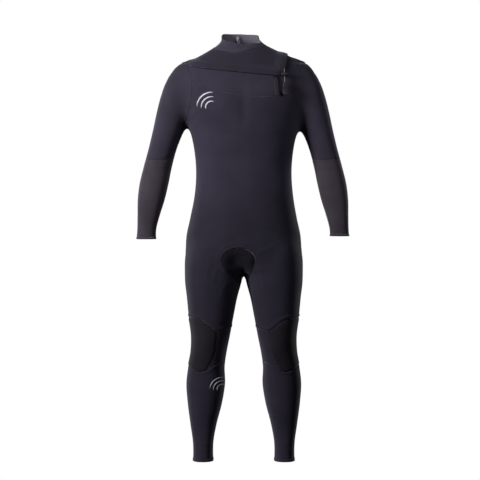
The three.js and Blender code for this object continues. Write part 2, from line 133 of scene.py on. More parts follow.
def make(tree, kind, settings=None, sockets=None, out=0):
    """Adds one node, its settings first and then its sockets, and returns one of its outputs."""
    node = tree.nodes.new(kind)
    for name, value in (settings or {}).items():
        if name == "stops":
            elements = node.color_ramp.elements
            for index, (place, colour) in enumerate(value):
                stop = elements[index] if index < len(elements) else elements.new(place)
                stop.position, stop.color = place, colour
        else:
            setattr(node, name, value)
    for name, value in (sockets or {}).items():
        if isinstance(value, Wire):
            tree.links.new(value.socket, node.inputs[name])
        else:
            node.inputs[name].default_value = value
    return Wire(tree, node.outputs[out])


def colour(red, green, blue):
    """A colour as an artist reads it, 0 to 255 on the screen, turned into light."""
    light = [c / 255 / 12.92 if c <= 10 else ((c / 255 + 0.055) / 1.055) ** 2.4 for c in (red, green, blue)]
    return (*light, 1.0)


def blend_colours(tree, factor, first, second):
    node = tree.nodes.new("ShaderNodeMix")
    node.data_type = "RGBA"
    for socket, value in zip((node.inputs[0], node.inputs[6], node.inputs[7]), (factor, first, second)):
        if isinstance(value, Wire):
            tree.links.new(value.socket, socket)
        else:
            socket.default_value = value
    return Wire(tree, node.outputs[2])


def new_material(name, constants):
    material = bpy.data.materials.new(name)
    material.use_nodes = True
    tree = material.node_tree
    skin = tree.nodes["Principled BSDF"]
    for socket, value in constants.items():
        skin.inputs[socket].default_value = value
    return material, tree, skin


def feed(tree, skin, socket, wire):
    tree.links.new(wire.socket, skin.inputs[socket])


# %% [markdown]
# ## The drawcord first
# A thin elastic cord closes the neck flap. It leaves an eye at the shoulder, follows the flap's free edge
# and hangs from the corner through a cord lock into its pull. It is a real cord of 120 mm, and its route
# is the one that the solid frame has.

# %% Drawcord
CORD_THICK = 3.0
CORD_ROUTE = [
    (147.7, -27.9, -24.3), (146.8, -34.2, -28.3), (145.8, -40.3, -32.6), (144.7, -45.6, -37.8),
    (143.5, -50.4, -43.5), (142.3, -54.8, -49.6), (141.1, -58.4, -56.1), (140, -62, -62.6),
    (139.1, -66, -68.9), (138.6, -70.3, -75.1), (138.3, -74.7, -81.2), (138.5, -77.4, -88.2),
    (138.6, -80.2, -95.2), (138.8, -83, -102.2), (138.9, -85.8, -109.2), (139, -88.6, -116.2),
    (139.2, -91.4, -123.2),
]


def cord_curve(name, points, thick):
    shape = bpy.data.curves.new(name, "CURVE")
    shape.dimensions = "3D"
    shape.bevel_depth = thick / 2 * MM
    shape.bevel_resolution = 4
    shape.resolution_u = 6
    shape.use_fill_caps = True
    line = shape.splines.new("NURBS")
    line.points.add(len(points) - 1)
    for point, place in zip(line.points, points):
        point.co = (*(c * MM for c in place), 1.0)
    line.order_u = 4
    line.use_endpoint_u = True
    piece = bpy.data.objects.new(name, shape)
    bpy.context.scene.collection.objects.link(piece)
    return piece


drawcord = cord_curve("flap_drawcord", CORD_ROUTE, CORD_THICK)


# %% [markdown]
# ## The fit charts
# A pattern cutter works from a table of girths. Each row below is one landmark of the worn suit: height,
# middle (across and front to back), half width and half depth, all in millimetres. Between the rows the
# sizes flow smoothly, and every level section is a rounded box, a little squarer than an ellipse.

# %% Fit charts
ROUNDNESS = 2.3
TORSO_CHART = [
    (-758, 2, 14, 34, 46), (-738, 2, 14, 118, 90), (-716, 2, 14, 172, 108), (-695, 2, 14, 192, 118),
    (-668, 2, 12, 196, 122), (-640, 2, 11, 195, 122),
    (-570, 2, 5, 181, 115), (-500, 3, -1, 168, 108), (-410, 3, -3, 162, 104), (-335, 3, -1, 169, 111),
    (-260, 3, 1, 186, 120), (-190, 2, 3, 205, 118), (-135, 2, 6, 216, 108), (-95, 2, 9, 217, 96),
    (-68, 4, 11, 209, 87), (-48, 6, 12, 194, 81), (-31, 6, 12, 169, 76), (-15, 3, 11, 137, 72),
    (0, -1, 8, 107, 68), (14, -4, 3, 82, 65), (26, -7, -2, 68, 62), (50, -9, -8, 64, 60),
    (80, -9, -12, 64, 60),
]
ARM_CHART = [
    (-670, 328, -28, 33, 26), (-640, 327, -25, 33, 26), (-615, 326, -22, 32, 26), (-560, 319, -16, 38, 33),
    (-515, 312, -9, 45, 41), (-456, 302, 0, 49, 46), (-400, 290, 8, 48, 47), (-333, 272, 11, 48, 52),
    (-270, 252, 11, 53, 58), (-210, 235, 10, 57, 62), (-160, 222, 10, 57, 62), (-115, 214, 11, 49, 54),
    (-80, 206, 12, 37, 40), (-58, 200, 12, 22, 24), (-48, 198, 12, 6, 8),
]
LEG_CHART = [
    (-1430, 139, 13, 35, 43), (-1400, 139, 13, 35, 43), (-1375, 139, 14, 34, 42), (-1340, 139, 14, 35, 42),
    (-1280, 138, 15, 44, 46), (-1200, 133, 13, 59, 57), (-1135, 130, 9, 66, 62), (-1075, 127, 3, 62, 62),
    (-1025, 119, -2, 61, 65), (-975, 113, -3, 65, 70), (-900, 111, -1, 77, 83), (-840, 108, 3, 86, 93),
    (-789, 104, 6, 96, 103), (-755, 101, 8, 100, 109), (-700, 98, 11, 101, 115), (-650, 94, 12, 92, 110),
    (-610, 90, 12, 78, 98),
]
LEG_STANCE = 3 # both legs stand this far to the wearer's left of the middle


class Chart:
    """A fit chart drawn out to one row a millimetre, so that a whole cloud of points is looked up at once."""

    def __init__(self, rows, side=1):
        rows = np.array(rows, float)
        z, sizes = rows[:, 0], rows[:, 1:]
        slope = np.gradient(sizes, z, axis=0)
        self.z = np.arange(z[0], z[-1] + 1)
        at = np.clip(np.searchsorted(z, self.z, "right") - 1, 0, len(z) - 2)
        step = (z[at + 1] - z[at])[:, None]
        t = (self.z[:, None] - z[at][:, None]) / step
        self.sizes = (
            (2 * t**3 - 3 * t**2 + 1) * sizes[at] + (t**3 - 2 * t**2 + t) * step * slope[at]
            + (3 * t**2 - 2 * t**3) * sizes[at + 1] + (t**3 - t**2) * step * slope[at + 1]
        )
        self.sizes[:, 0] *= side
        self.sizes[:, 2:] = np.maximum(self.sizes[:, 2:], 4.0)

    def at(self, z):
        return [np.interp(z, self.z, column) for column in self.sizes.T]


torso = Chart(TORSO_CHART)
SIDES = {"left": 1, "right": -1}
arms = {side: Chart(ARM_CHART, sign) for side, sign in SIDES.items()}
legs = {side: Chart(LEG_CHART, sign) for side, sign in SIDES.items()}
for leg in legs.values():
    leg.sizes[:, 0] += LEG_STANCE
print("charts:", len(TORSO_CHART), "torso,", len(ARM_CHART), "arm and", len(LEG_CHART), "leg rows")


# %% [markdown]
# ## One skin from the charts
# Each tube gives, for any point in space, its distance to that tube: negative inside, positive outside.
# Joining two tubes with a soft minimum fills the armpit and the crotch with the fillet that stretched
# rubber makes there. The skin is where the joined distance is zero.

# %% Distance to the suit
def level_distance(chart, x, y, z):
    cx, cy, w, d = chart.at(z)
    across, along = x - cx, y - cy
    share = (np.abs(across / w) ** ROUNDNESS + np.abs(along / d) ** ROUNDNESS) ** (1 / ROUNDNESS)
    reach = np.sqrt(across**2 + along**2)
    return np.where(share > 0.02, reach * (1 - 1 / np.maximum(share, 0.02)), -np.minimum(w, d))


def tube_distance(chart, x, y, z, top=None, bottom=None):
    near = level_distance(chart, x, y, z)
    rise = (level_distance(chart, x, y, z + 3) - level_distance(chart, x, y, z - 3)) / 6
    near = near / np.sqrt(1 + np.clip(rise, -6, 6) ** 2)
    if top is not None:
        near = np.maximum(near, z - top)
    if bottom is not None:
        near = np.maximum(near, bottom - z)
    return near


def soft_join(a, b, fillet):
    mix = np.clip(0.5 + 0.5 * (b - a) / fillet, 0, 1)
    return b + (a - b) * mix - fillet * mix * (1 - mix)


def swelling(x, y, z):
    """How far flesh under the suit pushes it out: chest, belly, seat, kneecaps and calves, in millimetres."""
    total = np.zeros_like(x)
    for (cx, cz), (wide, high), push, side in SWELLINGS:
        inside = np.exp(-(((x - cx) / wide) ** 2) - ((z - cz) / high) ** 2)
        total += push * inside * np.clip(y * side / 30, 0, 1)
    return total


FRONT, BACK = -1, 1
SWELLINGS = [
    ((82, -168), (62, 46), 7, FRONT), ((-78, -168), (62, 46), 7, FRONT), ((2, -440), (70, 90), 4, FRONT),
    ((2, -205), (16, 60), -3, FRONT), ((125, -985), (34, 44), 5, FRONT), ((-119, -985), (34, 44), 5, FRONT),
    ((88, -690), (66, 62), 12, BACK), ((-84, -690), (66, 62), 12, BACK), ((2, -700), (18, 70), -7, BACK),
    ((2, -300), (14, 190), -5, BACK), ((92, -190), (60, 70), 6, BACK), ((-88, -190), (60, 70), 6, BACK),
    ((133, -1160), (40, 70), 7, BACK), ((-127, -1160), (40, 70), 7, BACK),
]


def suit_distance(points):
    x, y, z = points.T
    near = tube_distance(torso, x, y, z, bottom=-752)
    left, right = (tube_distance(legs[side], x, y, z, top=-612) for side in SIDES)
    fillet = 8 + 26 * np.clip((140 - np.abs(x)) / 80, 0, 1)
    near = soft_join(near, soft_join(left, right, 4), fillet)
    for side in SIDES:
        near = soft_join(near, tube_distance(arms[side], x, y, z, top=-48, bottom=-668), 34)
    return near - swelling(x, y, z)


def slopes(distance, points, step=1.0):
    columns = []
    for axis in range(3):
        ahead, behind = points.copy(), points.copy()
        ahead[:, axis] += step
        behind[:, axis] -= step
        columns.append((distance(ahead) - distance(behind)) / (2 * step))
    return np.stack(columns, axis=1)


# %% [markdown]
# ## From distance to mesh
# Space is filled with small cubes. A cube that the skin passes through gets one point, at the middle of
# the places where its edges cross the skin, and every cube edge that crosses the skin gets one face
# between its four cubes. This gives even, nearly square faces all over, which a fabric needs.

# %% Skin mesh
CELL = 5.0
ROOM = np.array([[-400, -165, -1436], [400, 175, 92]], float)


def sample_room():
    axes = [np.arange(low, high, CELL) for low, high in ROOM.T]
    size = [len(axis) for axis in axes]
    field = np.empty(size, np.float32)
    gx, gy = np.meshgrid(axes[0], axes[1], indexing="ij")
    for layer in range(0, size[2], 16):
        levels = axes[2][layer : layer + 16]
        x, y, z = (
            np.repeat(gx[:, :, None], len(levels), axis=2),
            np.repeat(gy[:, :, None], len(levels), axis=2),
            np.broadcast_to(levels, (*gx.shape, len(levels))),
        )
        points = np.stack([x.ravel(), y.ravel(), z.ravel()], axis=1)
        field[:, :, layer : layer + 16] = suit_distance(points).reshape(x.shape)
    return axes, field


def skin_from(axes, field):
    inside = field < 0
    size = np.array(field.shape) - 1
    total, count = np.zeros((*size, 3)), np.zeros(size)
    corner = lambda a: tuple(slice(s, s + n) for s, n in zip(a, size))
    offsets = [(i, j, k) for i in (0, 1) for j in (0, 1) for k in (0, 1)]
    for first in offsets:
        for axis in range(3):
            if first[axis]:
                continue
            second = tuple(v + (n == axis) for n, v in enumerate(first))
            a, b = field[corner(first)], field[corner(second)]
            crossed = inside[corner(first)] != inside[corner(second)]
            share = np.where(crossed, a / np.where(crossed, a - b, 1), 0)
            for n in range(3):
                total[..., n] += np.where(crossed, first[n] + (share if n == axis else 0), 0)
            count += crossed
    active = count > 0
    number = np.full(size, -1)
    number[active] = np.arange(active.sum())
    cells = np.argwhere(active)
    places = cells + total[active] / count[active][:, None]
    places = places * CELL + np.array([axis[0] for axis in axes])
    faces = []
    for axis in range(3):
        u, v = [(1, 2), (2, 0), (0, 1)][axis]
        ahead = tuple(slice(1, None) if n == axis else slice(0, -1) for n in range(3))
        here = tuple(slice(0, -1) for _ in range(3))
        crossed = inside[here] != inside[ahead]
        edges = np.argwhere(crossed)
        edges = edges[(edges[:, u] > 0) & (edges[:, v] > 0)]
        step_u, step_v = np.eye(3, dtype=int)[u], np.eye(3, dtype=int)[v]
        ring = [edges - step_u - step_v, edges - step_v, edges, edges - step_u]
        quad = np.stack([number[tuple(r.T)] for r in ring], axis=1)
        outward = inside[tuple(edges.T)]
        quad[~outward] = quad[~outward][:, ::-1]
        faces.append(quad)
    faces = np.concatenate(faces)
    return places, faces[(faces >= 0).all(axis=1)]


def settle_on(distance, points, rounds=2):
    for _ in range(rounds):
        slope = slopes(distance, points)
        steep = np.maximum((slope**2).sum(axis=1), 0.05)
        points = points - slope * (distance(points) / steep)[:, None]
    return points


def relax(points, faces, rounds):
    pairs = np.concatenate([faces[:, [n, (n + 1) % faces.shape[1]]] for n in range(faces.shape[1])])
    pairs = np.unique(np.sort(pairs, axis=1), axis=0)
    valence = np.bincount(pairs.ravel(), minlength=len(points))[:, None]
    for _ in range(rounds):
        middle = np.zeros_like(points)
        for n in range(3):
            middle[:, n] = np.bincount(pairs[:, 0], points[pairs[:, 1], n], len(points))
            middle[:, n] += np.bincount(pairs[:, 1], points[pairs[:, 0], n], len(points))
        points = points + 0.5 * (middle / np.maximum(valence, 1) - points)
    return points


axes, field = sample_room()
skin, quads = skin_from(axes, field)
for _ in range(2):
    skin = settle_on(suit_distance, relax(skin, quads, 2))
print("skin:", len(skin), "points,", len(quads), "faces")


# %% [markdown]
# ## Seams are curves too
# A seam is drawn as a cutter draws it, as a few points that a smooth line goes through. Seen from the
# front it is a line across height; on the neck it is a line on the side view. For any point the seam says
# how far it is away and on which side, and the skin is cut where that is zero.

# %% Seam lines
def smooth_line(points, closed=False, pieces=8):
    points = np.array(points, float)
    if closed:
        padded = np.concatenate([points[-1:], points, points[:2]])
    else:
        padded = np.concatenate([2 * points[:1] - points[1:2], points, 2 * points[-1:] - points[-2:-1]])
    t = (np.arange(pieces) / pieces)[:, None]
    spans = []
    for a, b, c, d in zip(padded, padded[1:], padded[2:], padded[3:]):
        curve = (2 * a - 5 * b + 4 * c - d) * t**2
        spans.append(0.5 * (2 * b + (c - a) * t + curve + (3 * b - a - 3 * c + d) * t**3))
    line = np.concatenate(spans)
    return np.concatenate([line, line[:1] if closed else points[-1:]])


class Seam:
    """Signed distance to a drawn line: positive on the left of its direction, as seen on the drawing."""

    def __init__(self, points, view=(0, 2), closed=False, side=1):
        points = [(side * u, v) for u, v in points]
        if side < 0:
            points.reverse()
        self.line = smooth_line(points, closed)
        self.view = list(view)

    def nearest(self, points):
        flat = points[:, self.view]
        best, sign, run = np.full(len(flat), 1e9), np.ones(len(flat)), np.zeros(len(flat))
        passed = 0.0
        for a, b in zip(self.line, self.line[1:]):
            along = b - a
            share = np.clip(((flat - a) @ along) / (along @ along), 0, 1)
            gap = flat - a - share[:, None] * along
            distance = np.hypot(*gap.T)
            turn = along[0] * (flat[:, 1] - a[1]) - along[1] * (flat[:, 0] - a[0])
            closer = distance < best - 1e-9
            best = np.where(closer, distance, best)
            sign = np.where(closer, np.sign(turn), sign)
            run = np.where(closer, passed + share * np.hypot(*along), run)
            passed += np.hypot(*along)
        return best * np.where(sign == 0, 1, sign), run

    def __call__(self, points):
        return self.nearest(points)[0]

    def run(self, points):
        return self.nearest(points)[1]


class Level:
    """A seam that lies in a level or upright plane."""

    def __init__(self, axis, place):
        self.axis, self.place = axis, place

    def __call__(self, points):
        return points[:, self.axis] - self.place

    def run(self, points):
        if self.axis != 2:
            return points[:, 2]
        spoke = points[:, :2] - points[:, :2].mean(axis=0)
        return np.arctan2(*spoke.T) * np.hypot(*spoke.T).mean()


class AroundNeck:
    """A seam around the neck: its height in each direction, 0 ahead and positive to the wearer's left."""

    def __init__(self, heights):
        self.line = smooth_line(heights)

    def __call__(self, points):
        across, ahead = points[:, 0] - NECK_AXIS[0], NECK_AXIS[1] - points[:, 1]
        way = np.degrees(np.arctan2(across, ahead))
        return points[:, 2] - np.interp(way, *self.line.T)

    def run(self, points):
        across, ahead = points[:, 0] - NECK_AXIS[0], NECK_AXIS[1] - points[:, 1]
        return np.arctan2(across, ahead) * np.hypot(across, ahead).mean()


SIDE_SEAM = 8
ARMHOLE = [(206, 20), (196, -30), (185, -62), (173, -100), (171, -140), (177, -190), (190, -241), (206, -285),
           (220, -400), (240, -700)]
FLAP_EDGE = [(-250, -28), (-194, -51), (-146, -69), (-26, -83.5), (95, -95), (122, -95), (133, -88),
             (136.5, -76), (141.5, -47), (151, -19), (160, 12)]
UNDER_FLAP = [(-250, -28), (-194, -51), (-146, -63), (-26, -77), (95, -88), (116, -88), (125, -80),
              (128.5, -66), (133.5, -44), (143, -17), (152, 12)]
CHEST_SEAM = [(-215, -80), (-156, -115), (-104, -139), (-41, -156), (44, -166), (109, -163), (215, -140)]
GUSSET = [(4, -806), (24, -766), (37, -730), (39, -704), (26, -684), (-4, -671), (-38, -676), (-62, -692),
          (-70, -720), (-52, -754), (-18, -790)]
KNEE_TOP = [
    (-5, -938), (40, -944), (70, -949), (92, -947), (118, -926), (143, -911), (175, -908), (225, -908),
]
KNEE_FOOT = [(10, -1050), (60, -1056), (98, -1068), (122, -1084), (146, -1090), (172, -1082), (195, -1068),
             (225, -1058)]
KNEE_EDGE = [(86, -925), (87, -952), (90, -986), (95, -1020), (105, -1050), (120, -1078), (134, -1112)]
COLLAR_SEAM = [(-180, 22), (-120, 19), (-90, 10), (-62, -6), (-42, -14), (-14, -18), (14, -12), (35, -3),
               (60, 5), (90, 12), (120, 19), (180, 22)]
COLLAR_RIM = [(-180, 57), (-120, 55), (-96, 46), (-70, 33), (-35, 20), (0, 12), (14, 9), (34, 14), (60, 20),
              (90, 32), (112, 50), (180, 57)]
NECK_AXIS = (-8, -3)
STORM_FLAP_SIDES = [(0, -140), (0, 122), (2, -166), (2, -42)]
STORM_FLAP_MIDDLE = (-10, 0, -100)
ELBOW = -374
CUFF = {"left": -632, "right": -642}
ANKLE = -1400
HEM_HIGH = {"wrist": 8, "ankle": 10}
print("seams drawn; the zip flap's edge has", len(FLAP_EDGE), "points")


# %% [markdown]
# ## Cutting the skin
# Points close to a seam are first moved onto it, so that no thin slivers are left, and then every
# triangle that still crosses it is divided. A second and a third line run beside the seam: the cloth
# dips between them and the seam, which is the little valley that a glued and stitched seam leaves.

# %% Cutting
VALLEY = 1.8 # half the width of the valley at a seam
SEAM_SINK = 0.5
FAR_FROM_SEAM = 9.0


def outward(points):
    slope = slopes(suit_distance, points)
    return slope / np.linalg.norm(slope, axis=1)[:, None]


class Cloth:
    """The points of the suit's skin, which lie on a seam, and how far across and along it they are."""

    def __init__(self, points):
        self.points = points
        self.on_seam = np.zeros(len(points), bool)
        self.marks = np.tile([FAR_FROM_SEAM, 0.0], (len(points), 1))

    def snap(self, triangles, seam):
        used = np.unique(triangles)
        away = np.abs(seam(self.points[used]))
        near = (away < 0.3 * CELL) & ~self.on_seam[used]
        moving, away = used[near], away[near]
        if not len(moving):
            return moving
        normal = outward(self.points[moving])
        for turn in range(3):
            slope = slopes(seam, self.points[moving], 0.2)
            slope -= (slope * normal).sum(axis=1)[:, None] * normal
            steep = np.maximum((slope**2).sum(axis=1), 0.1)
            if turn == 0:
                close = away < 0.3 * CELL * np.sqrt(steep)
                moving, normal, slope, steep = moving[close], normal[close], slope[close], steep[close]
            self.points[moving] -= slope * (seam(self.points[moving]) / steep)[:, None]
        self.points[moving] -= suit_distance(self.points[moving])[:, None] * normal
        return moving

    def divide(self, triangles, values):
        """Divides triangles where the values at their points change sign; zero counts as on the line."""
        corner = values[triangles]
        sign = np.sign(corner)
        mixed = (sign.max(axis=1) > 0) & (sign.min(axis=1) < 0)
        keep, cut = triangles[~mixed], triangles[mixed]
        if not len(cut):
            return triangles, values
        edges = np.concatenate([cut[:, [n, (n + 1) % 3]] for n in range(3)])
        crossing = values[edges[:, 0]] * values[edges[:, 1]] < 0
        pairs, place = np.unique(np.sort(edges[crossing], axis=1), axis=0, return_inverse=True)
        a, b = values[pairs[:, 0]], values[pairs[:, 1]]
        share = (a / (a - b))[:, None]
        fresh = self.points[pairs[:, 0]] * (1 - share) + self.points[pairs[:, 1]] * share
        first = len(self.points)
        self.points = np.concatenate([self.points, fresh])
        both = self.on_seam[pairs[:, 0]] & self.on_seam[pairs[:, 1]]
        self.on_seam = np.concatenate([self.on_seam, both])
        mixed_marks = self.marks[pairs[:, 0]] * (1 - share) + self.marks[pairs[:, 1]] * share
        self.marks = np.concatenate([self.marks, mixed_marks])
        values = np.concatenate([values, np.zeros(len(fresh))])
        middle = np.full(len(edges), -1)
        middle[crossing] = first + place.ravel()
        middle = middle.reshape(3, -1).T
        out = [keep]
        for n in range(3):
            p, q, r = cut[:, n], cut[:, (n + 1) % 3], cut[:, (n + 2) % 3]
            pq, qr, rp = middle[:, n], middle[:, (n + 1) % 3], middle[:, (n + 2) % 3]
            lone = (pq >= 0) & (rp >= 0) & (qr < 0)
            out += [np.stack(t, axis=1)[lone] for t in ((p, pq, rp), (pq, q, r), (pq, r, rp))]
            split = (qr >= 0) & (pq < 0) & (rp < 0)
            out += [np.stack(t, axis=1)[split] for t in ((p, q, qr), (p, qr, r))]
        return np.concatenate(out), values

    def cut(self, triangles, seam, valley=True):
        """Cuts along the seam and returns the triangles on its positive and on its negative side."""
        snapped = self.snap(triangles, seam)
        values = seam(self.points)
        values[snapped] = 0
        triangles, values = self.divide(triangles, values)
        lines = np.abs(values) < 1e-9
        used = np.unique(triangles)
        seam_points = used[lines[used]]
        self.on_seam[seam_points] = True
        if valley:
            for offset in (VALLEY, -VALLEY):
                shifted = np.where(np.abs(values - offset) < 0.25, 0, values - offset)
                triangles, shifted = self.divide(triangles, shifted)
                fresh = len(shifted) - len(values)
                values = np.concatenate([values, np.full(fresh, offset)])
            used = np.unique(triangles)
            close = used[np.abs(values[used]) < VALLEY + 0.3]
            self.marks[close] = np.stack([np.abs(values[close]), seam.run(self.points[close])], axis=1)
        corner = values[triangles]
        strongest = np.take_along_axis(corner, np.abs(corner).argmax(axis=1)[:, None], axis=1)[:, 0]
        return triangles[strongest > 0], triangles[strongest <= 0], seam_points


triangles = np.concatenate([quads[:, [0, 1, 2]], quads[:, [0, 2, 3]]])
cloth = Cloth(skin)
panels = {}
sunk = []


def cut_along(piece, seam, valley=True):
    above, below, seam_points = cloth.cut(piece, seam, valley)
    if valley:
        sunk.append(seam_points)
    return above, below


def cut_sleeves(rest):
    for side, sign in SIDES.items():
        armhole = Seam(ARMHOLE, side=sign)
        upper = cloth.points[rest][:, :, 2].mean(axis=1) > -690
        sleeve, trunk = cut_along(rest[upper], armhole)
        rest = np.concatenate([rest[~upper], trunk])
        upper_sleeve, low = cut_along(sleeve, Level(2, ELBOW))
        forearm, low = cut_along(low, Level(2, CUFF[side] + HEM_HIGH["wrist"]))
        hem, _ = cut_along(low, Level(2, CUFF[side]), valley=False)
        panels[f"upper_sleeve_{side}"] = upper_sleeve
        panels[f"forearm_sleeve_{side}"] = forearm
        panels[f"wrist_hem_{side}"] = hem
    return rest


def cut_legs(trunk):
    for side, sign in SIDES.items():
        own = (cloth.points[trunk][:, :, 0].mean(axis=1) * sign > 0) & (
            cloth.points[trunk][:, :, 2].mean(axis=1) < -850
        )
        top, leg = cut_along(trunk[own], Seam(KNEE_TOP, side=sign))
        trunk = np.concatenate([trunk[~own], top])
        knee, low = cut_along(leg, Seam(KNEE_FOOT, side=sign))
        low, hem = cut_along(low, Level(2, ANKLE + HEM_HIGH["ankle"]))
        hem, _ = cut_along(hem, Level(2, ANKLE), valley=False)
        panels[f"ankle_hem_{side}"] = hem
        panels[f"calf_{side}"], panels[f"shin_{side}"] = cut_along(low, Level(1, SIDE_SEAM))
        inner = cloth.points[knee][:, :, 0].mean(axis=1) * sign < 118
        back_outer, front_outer = cut_along(knee[~inner], Level(1, SIDE_SEAM))
        front = cloth.points[knee[inner]][:, :, 1].mean(axis=1) < SIDE_SEAM
        inner_front = np.concatenate([knee[inner][front], front_outer])
        edge = Seam(KNEE_EDGE, side=sign)
        pad, strip = cut_along(inner_front, edge)
        panels[f"knee_pad_{side}"] = pad
        panels[f"knee_back_{side}"] = np.concatenate([strip, back_outer, knee[inner][~front]])
    return trunk


def cut_trunk(trunk):
    middle = cloth.points[trunk].mean(axis=1)
    seat = (middle[:, 2] > -840) & (middle[:, 2] < -630)
    gusset, around = cut_along(trunk[seat], Seam(GUSSET, closed=True))
    trunk = np.concatenate([trunk[~seat], around])
    high = cloth.points[trunk][:, :, 2].mean(axis=1) > -80
    neck, below = cut_along(trunk[high], AroundNeck(COLLAR_SEAM))
    trunk = np.concatenate([trunk[~high], below])
    _, collar = cut_along(neck, AroundNeck(COLLAR_RIM), valley=False)
    back, front = cut_along(trunk, Level(1, SIDE_SEAM))
    high = cloth.points[front][:, :, 2].mean(axis=1) > -240
    lining = front[high]
    for side, place in STORM_FLAP_SIDES:
        above, below = cut_along(lining, Level(side, place), valley=False)
        lining = above if place < STORM_FLAP_MIDDLE[side] else below
    panels["storm_flap"] = lining
    flap, _ = cut_along(front[high], Seam(FLAP_EDGE), valley=False)
    _, chest = cut_along(front[high], Seam(UNDER_FLAP), valley=False)
    chest, belly = cut_along(chest, Seam(CHEST_SEAM))
    panels.update(
        crotch_gusset=gusset, collar=collar, back_body=back, neck_flap=flap, chest_panel=chest,
        front_body=np.concatenate([front[~high], belly]),
    )


cut_trunk(cut_legs(cut_sleeves(triangles)))
for name, piece in sorted(panels.items()):
    print(name, len(piece), "triangles")


# %% [markdown]
# ## Folds, beads and bands
# Stretched rubber lies smooth, but it puckers where the body bends: beside the crotch, under the arms, at
# the elbows and behind the knees. Each fold is a soft ridge along a drawn line. Where a heavier panel is
# glued to a lighter one its edge makes a bead, and each hem is a doubled band.

# %% Folds
# Each fold: its line as (across, height) points, its own height, its half width and its face.
FOLDS = [
    ([(-66, -692), (-98, -672), (-140, -662)], 1.9, 8, FRONT),
    ([(40, -694), (78, -674), (122, -660)], 1.9, 8, FRONT),
    ([(-72, -722), (-92, -752), (-104, -806)], 1.7, 8, FRONT),
    ([(40, -728), (62, -764), (76, -818)], 1.7, 8, FRONT),
    ([(-34, -652), (4, -642), (44, -654)], 2.0, 9, FRONT),
    ([(-12, -664), (10, -656), (38, -664)], 1.6, 6, FRONT),
    ([(-100, -700), (-118, -740), (-122, -800)], 1.2, 9, FRONT),
    ([(-40, -770), (-62, -800), (-78, -850)], 1.2, 7, FRONT),
    ([(-186, -236), (-156, -214), (-118, -206)], 1.7, 8, FRONT),
    ([(190, -238), (160, -216), (122, -208)], 1.7, 8, FRONT),
    ([(-184, -262), (-154, -252), (-120, -254)], 1.2, 8, FRONT),
    ([(188, -264), (158, -254), (124, -256)], 1.2, 8, FRONT),
    ([(-252, -352), (-272, -366), (-296, -366)], 1.7, 7, FRONT),
    ([(252, -352), (272, -366), (296, -366)], 1.7, 7, FRONT),
    ([(-258, -392), (-280, -400), (-304, -394)], 1.3, 7, FRONT),
    ([(258, -392), (280, -400), (304, -394)], 1.3, 7, FRONT),
    ([(-150, -40), (-170, -62), (-182, -92)], 1.4, 8, FRONT),
    ([(166, -44), (182, -64), (192, -92)], 1.4, 8, FRONT),
    ([(104, -1330), (139, -1339), (176, -1331)], 1.0, 7, FRONT),
    ([(-100, -1330), (-136, -1339), (-172, -1331)], 1.0, 7, FRONT),
    ([(106, -1356), (139, -1364), (174, -1357)], 0.8, 6, FRONT),
    ([(-102, -1356), (-136, -1364), (-170, -1357)], 0.8, 6, FRONT),
    ([(64, -984), (112, -996), (160, -984)], 2.4, 9, BACK),
    ([(-60, -984), (-108, -996), (-156, -984)], 2.4, 9, BACK),
    ([(70, -1014), (114, -1022), (160, -1012)], 1.8, 9, BACK),
    ([(-66, -1014), (-110, -1022), (-156, -1012)], 1.8, 9, BACK),
    ([(-120, -424), (2, -440), (124, -424)], 1.6, 13, BACK),
    ([(-128, -474), (2, -488), (132, -474)], 1.4, 13, BACK),
    ([(10, -772), (60, -786), (130, -776)], 1.9, 9, BACK),
    ([(-6, -772), (-56, -786), (-126, -776)], 1.9, 9, BACK),
    ([(-262, -368), (-286, -376), (-316, -368)], 1.6, 8, BACK),
    ([(262, -368), (286, -376), (316, -368)], 1.6, 8, BACK),
    ([(-184, -240), (-150, -226), (-110, -226)], 1.6, 9, BACK),
    ([(188, -240), (154, -226), (114, -226)], 1.6, 9, BACK),
]


def smooth_step(value, low, high):
    t = np.clip((value - low) / (high - low), 0, 1)
    return t * t * (3 - 2 * t)


def fold_height(points):
    height = np.zeros(len(points))
    for line, high, wide, face in FOLDS:
        path = np.array(line, float)
        low, top = path.min(axis=0) - 3 * wide, path.max(axis=0) + 3 * wide
        flat = points[:, [0, 2]]
        near = ((flat > low) & (flat < top)).all(axis=1) & (points[:, 1] * face > -6)
        if not near.any():
            continue
        seam = Seam(line)
        away, run = seam.nearest(points[near])
        length = np.hypot(*np.diff(seam.line, axis=0).T).sum()
        ends = smooth_step(run, 0, 0.35 * length) * (1 - smooth_step(run, 0.65 * length, length))
        face_on = smooth_step(points[near][:, 1] * face, -6, 14)
        ridge = np.exp(-((away / wide) ** 2)) - 0.45 * np.exp(-((away / (2 * wide)) ** 2))
        height[near] += high * ridge * ends * face_on
    return height


def bead(away, middle, half, high):
    return high * np.clip(1 - ((away - middle) / half) ** 2, 0, 1) ** 2


# %% [markdown]
# ## Panels as cloth
# Every panel becomes an object of its own. The points on its seams are sunk a little below the skin, and
# a Solidify modifier gives it the thickness of the rubber, inwards, so that looking into the neck or a
# cuff shows a real edge and a real lining.

# %% How each panel stands off the skin
SHEET = 3.6 # thickness of the rubber with its jerseys
FLAP_PROUD = 7.2
LINING_GAP = -9.6


def flap_rise(points):
    """How far the neck flap stands off the chest: most along its free edge, nothing where it is sewn in."""
    x = points[:, 0]
    near_edge = 1 - smooth_step(Seam(FLAP_EDGE)(points), 11, 38)
    sewn = smooth_step(x, -196, -156)
    shoulder = smooth_step(points[:, 2], -64, -30)
    under_lock = 0.75 * np.exp(-(((x - 134) / 15) ** 2) - ((points[:, 2] + 91) / 13) ** 2)
    zip_end = 2.4 * smooth_step(-x, 95, 125)
    return (FLAP_PROUD + zip_end) * near_edge * sewn * (1 - 0.3 * shoulder) * (1 - under_lock)


